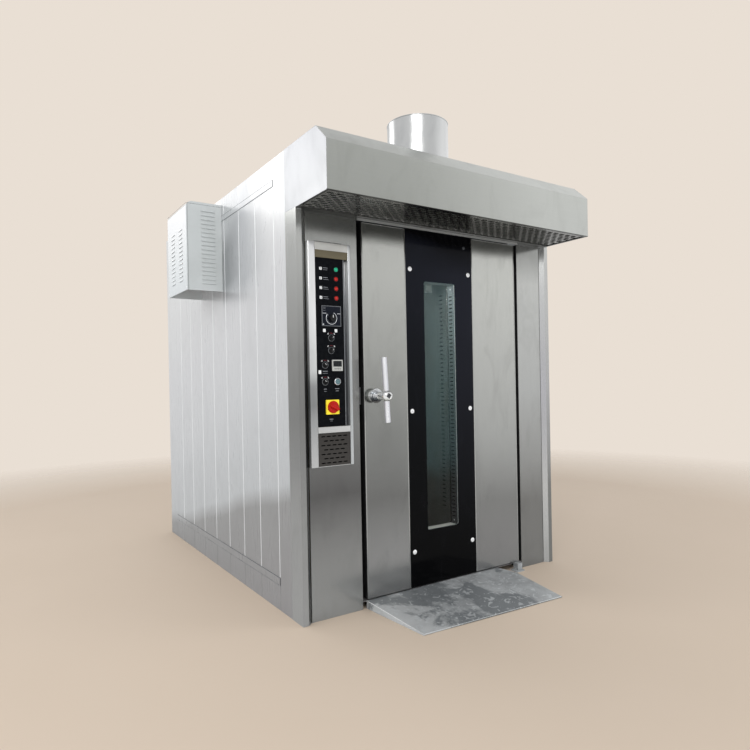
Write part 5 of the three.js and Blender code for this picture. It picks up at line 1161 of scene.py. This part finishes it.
def startButton(b):
    ring = [(b["bore"], -0.5), (b["ring"] + 0.6, -0.5), (b["ring"] + 0.6, 1.8), (b["ring"], 3.6),
        (b["ring"] - 1.6, 5.4), (b["bore"] + 1.2, 6.3), (b["bore"] + 0.1, 5.9), (b["bore"], 5.4),
        (b["bore"], -0.5)]
    piece("button_ring", [turned(ring, spot(b["x"], plateY, b["z"]), sides=64)], "ringBright")
    r = b["cap"]
    cap = [(0, 0), (r, 0), (r, 6.4), (r - 0.8, 7.6), (r - 2.2, 8.2), (r - 3, 8.0), (r - 3.6, 8.4), (5.4, 9.1),
        (4.6, 8.6), (0, 8.8)]
    piece("start_cap", [turned(cap, spot(b["x"], plateY + 4, b["z"]), sides=64)], "teal",
        "start_button", 40, ["push_button"])


def mainSwitchKnob(m):
    # round base with a soft shoulder and a grip whose sides flare into it
    r, depth = m["radius"], m["depth"]
    centre = spot(m["x"], m["base"], m["z"])
    base = turned([(0, 0.2), (r - 0.8, 0.2), (r, 1.2), (r, depth * 0.22), (r - 0.8, depth * 0.34),
        (r - 3, depth * 0.42), (r - 7, depth * 0.47), (0, depth * 0.5)], centre, sides=72)
    grip = block((m["x"] - r * 0.28, m["base"] - depth, m["z"] - r * 0.9),
        (m["x"] + r * 0.28, m["base"] - depth * 0.3, m["z"] + r * 0.9), 3.2, r * 0.27, 1, 8)
    grid = grip[0].copy()
    lift = np.clip((grid[..., 1] - centre[1] + depth / 1000) / (depth * 0.7 / 1000), 0, 1)
    grid[..., 0] = centre[0] + (grid[..., 0] - centre[0]) * (1 + 0.35 * lift)
    piece("switch_grip", [base, swung((grid, False, True), m["turn"], centre)], "red",
        "main_switch", 40, ["main_switch_knob"])
    x, z = m["mark"]
    piece("switch_mark", [turned([(0, -0.2), (3.2, -0.2), (3.2, 0.3), (0, 0.3)],
        spot(m["x"] + x, m["base"] - 0.1, m["z"] + z), sides=24)], "ink")


startButton(button)
mainSwitchKnob(mainSwitch)
print("controls made")


# ---- hood: rounded beads along the folds at its front corners and lips, whose glow is a painted highlight
def hoodFolds():
    left, right, front, ridge = 0, 1756, -307, -213.5
    low, faceTop, roof = 1993, 2214, 2300
    paths = [[(left, front, low), (left, front, faceTop)], [(right, front, low), (right, front, faceTop)],
        [(left, front, faceTop), (left, ridge, roof)], [(right, front, faceTop), (right, ridge, roof)],
        [(left, front, faceTop), (right, front, faceTop)], [(left, ridge, roof), (right, ridge, roof)],
        [(left, front, low), (right, front, low)], [(left, front, low), (left, 0, low)],
        [(right, front, low), (right, 0, low)]]
    beads = []
    for a, b in paths:
        a, b = np.array(a, float), np.array(b, float)
        inward = np.array([878, 0, 2100]) - (a + b) / 2
        inward[1] = 60 if a[1] < -200 else 0
        shift = np.sign(inward) * 1.6 * (np.abs(b - a) < 1)
        step = np.linspace(0, 1, 12)[:, None]
        beads.append(tube(placed(a + shift + (b - a) * step), 1.5, 8))
    piece("hood_fold_beads", beads, "foldSteel", "cabinet", 60)


hoodFolds()


# ---- side walls: joint beads whose glow is a painted highlight, a dark line round each trim as a painted shadow
wallParts = {"half": 878, "beadOut": 875.3, "lineOut": 876.6, "firstJoint": 260.3, "jointPitch": 242,
    "joints": 8, "trim": (260.3, 2130), "trimLow": (130, 166), "trimHigh": (2163, 2192), "top": 2299,
    "line": 2.4}


def wallDetail(w):
    beads, lines = [], []
    for side in (-1, 1):
        for k in range(w["joints"]):
            y = w["firstJoint"] + k * w["jointPitch"]
            heights = np.linspace(w["trimLow"][1] + 4, w["top"], 14)
            path = np.stack([np.full(14, w["half"] + side * w["beadOut"]), np.full(14, y), heights], -1)
            beads.append(tube(placed(path), 1.9, 8))
        outer, inner = sorted((w["half"] * (1 + side), w["half"] + side * w["lineOut"]))
        y0, y1 = w["trim"]
        t = w["line"]
        for z0, z1 in (w["trimLow"], w["trimHigh"]):
            for (ya, yb), (za, zb) in (((y0 - t, y1), (z1, z1 + t)), ((y0 - t, y1), (z0 - t, z0)),
                    ((y0 - t, y0), (z0, z1))):
                lines.append(block((outer, ya, za), (inner + (0.6 if side < 0 else -0.6), yb, zb), 0.2))
    piece("wall_joint_beads", beads, "jointEdge", "cabinet", 60)
    piece("wall_trim_shadow_lines", lines, "ringSteel")


wallDetail(wallParts)


# ---- burner cover: seam beside its corner, lid line, fixing screws
coverParts = {"side": -215, "front": 1027, "back": 1437, "low": 1733, "high": 2258, "lid": 2246,
    "screwY": (1040, 1424), "screwZ": (1748, 2234)}


def coverDetail(c):
    screws = [turned([(0, -0.3), (4, -0.3), (4, 0.6), (2.8, 1.6), (0, 2)], spot(c["side"], y, z), "-x", 20)
        for y in c["screwY"] for z in c["screwZ"]]
    piece("cover_screws", screws, "boltChrome")
    seams = [block((c["side"] + 7, c["front"] - 0.3, c["low"]), (c["side"] + 9, c["front"] + 0.5, c["lid"]),
        0.15), block((c["side"] + 1, c["front"] - 0.3, c["lid"]), (-2, c["front"] + 0.5, c["lid"] + 1.6),
        0.15), block((c["side"] - 0.3, c["front"] + 1, c["lid"]), (c["side"] + 0.5, c["back"] - 2,
        c["lid"] + 1.6), 0.15)]
    piece("cover_seams", seams, "ringSteel")


coverDetail(coverParts)


# ---- ramp: a bead along its front and left side whose glow is a painted highlight on the plate's edge
rampParts = {"frontLeft": (403, -409, 6), "frontRight": (1289, -458, 6), "backLeft": (372, 12, 40)}


def rampEdges(r):
    left, right, back = (np.array(r[k], float) for k in ("frontLeft", "frontRight", "backLeft"))
    edges = []
    for a, b, shift in ((left, right, (0, 2.4, -1.0)), (left, back, (1.8, 0, -1.2))):
        step = np.linspace(0.003, 0.997, 16)[:, None]
        edges.append(tube(placed(a + (b - a) * step + shift), 1.7, 8))
    piece("ramp_edges", edges, "jointEdge", "cabinet", 60)


rampEdges(rampParts)
print("small trims made")


# ---- stage: pale floor that fades into the backdrop's colour, soft lamps
stageLook = {
    "floor": "#dccab6", "floorMirrored": "#f0eeeb", "backdrop": "#e9dfd4", "fadeFrom": 3.6, "fadeTo": 6.5,
    "world": 0.7, "mirrorLow": 0.72,
    # name, place, aim, size in metres, watts, seen in polished metal
    "lamps": [("key", (-3.5, -5.0, 4.6), (0.0, -0.8, 1.0), (3, 3), 90, True),
              ("fill", (4.2, -4.5, 3.4), (0.2, -0.8, 1.0), (3, 3), 40, False),
              ("side", (-6.0, 0.5, 3.6), (-0.8, 0.0, 1.2), (3, 3), 50, False),
              ("sidePanel", (-2.8, 4.0, 4.4), (-0.9, -1.0, 2.1), (3.2, 1.7), 27, True),
              ("chamberLamp", (-0.10, -0.80, 1.75), (0.6, -0.55, 1.1), (0.3, 0.3), 9, False)],
}


def makeStage(look):
    # a flat disc, seen in the backdrop's colour towards its edge
    angle = np.linspace(0, 2 * np.pi, 96, endpoint=False)
    radii = np.array([0.0, 2.0, 4.0, 7.0])[:, None]
    grid = np.stack([radii * np.cos(angle), radii * np.sin(angle), 0 * radii * angle - 0.0005], -1)
    mesh = bpy.data.meshes.new("floor")
    mesh.from_pydata(grid.reshape(-1, 3).tolist(), [], quads(*grid.shape[:2], False, True).tolist())
    floor = bpy.data.objects.new("floor", mesh)
    scene.collection.objects.link(floor)
    paint = Paint(roughness=0.7, specular=0.1)
    speck = paint.noise((1.2, 1.2, 1.2), 4.0, 0.5)
    seen = paint.mix(speck, look["floor"], "#e0cebb")
    camera = paint.node("ShaderNodeLightPath", output="Is Camera Ray")
    paint.set("colour", paint.mix(camera, look["floorMirrored"], seen))
    away = paint.node("ShaderNodeVectorMath", {"operation": "LENGTH"}, {0: paint.place}, output="Value")
    clear = paint.node("ShaderNodeBsdfTransparent")
    solid = Wire(paint, paint.shader.outputs[0])
    faded = paint.node("ShaderNodeMixShader", None, {0: paint.spread(away, look["fadeFrom"], look["fadeTo"]),
        1: solid, 2: clear})
    paint.tree.links.new(faded.socket, paint.tree.nodes["Material Output"].inputs["Surface"])
    mesh.materials.append(paint.material)

    # the backdrop's colour for the camera, near white for metal and glass, a dimmer level for the rest
    world = bpy.data.worlds.new("studio")
    scene.world = world
    world.use_nodes = True
    world.node_tree.nodes.clear()
    sky = NodeBench(world.node_tree)
    sky.place = sky.node("ShaderNodeTexCoord", output="Generated")
    bright = sky.spread(sky.axis("X"), 0.42, 0.85, look["mirrorLow"], 1.0)
    shade = sky.node("ShaderNodeBackground", None, {"Color": (0.95, 0.97, 1.0, 1), "Strength": look["world"]})
    seen = [("Is Transmission Ray", (1, 1, 1, 1), 1.0), ("Is Glossy Ray", (1, 1, 1, 1), bright),
        ("Is Camera Ray", look["backdrop"], 1.0)]
    for ray, colour, strength in seen:
        kind = sky.node("ShaderNodeLightPath", output=ray)
        glow = sky.node("ShaderNodeBackground", None, {"Color": colour, "Strength": strength})
        shade = sky.node("ShaderNodeMixShader", None, {0: kind, 1: shade, 2: glow})
    sky.node("ShaderNodeOutputWorld", None, {"Surface": shade}, output=None)

    for name, place, aim, size, energy, mirrored in look["lamps"]:
        data = bpy.data.lights.new(name, "AREA")
        data.shape, data.size, data.size_y, data.energy = "RECTANGLE", size[0], size[1], energy
        lamp = bpy.data.objects.new(name, data)
        scene.collection.objects.link(lamp)
        lamp.location = place
        lamp.visible_glossy, lamp.visible_camera = mirrored, False
        lamp.rotation_mode = "QUATERNION"
        lamp.rotation_quaternion = (Vector(aim) - Vector(place)).to_track_quat("-Z", "Y")


makeStage(stageLook)
print("stage made")

scene.view_settings.view_transform = "Standard"
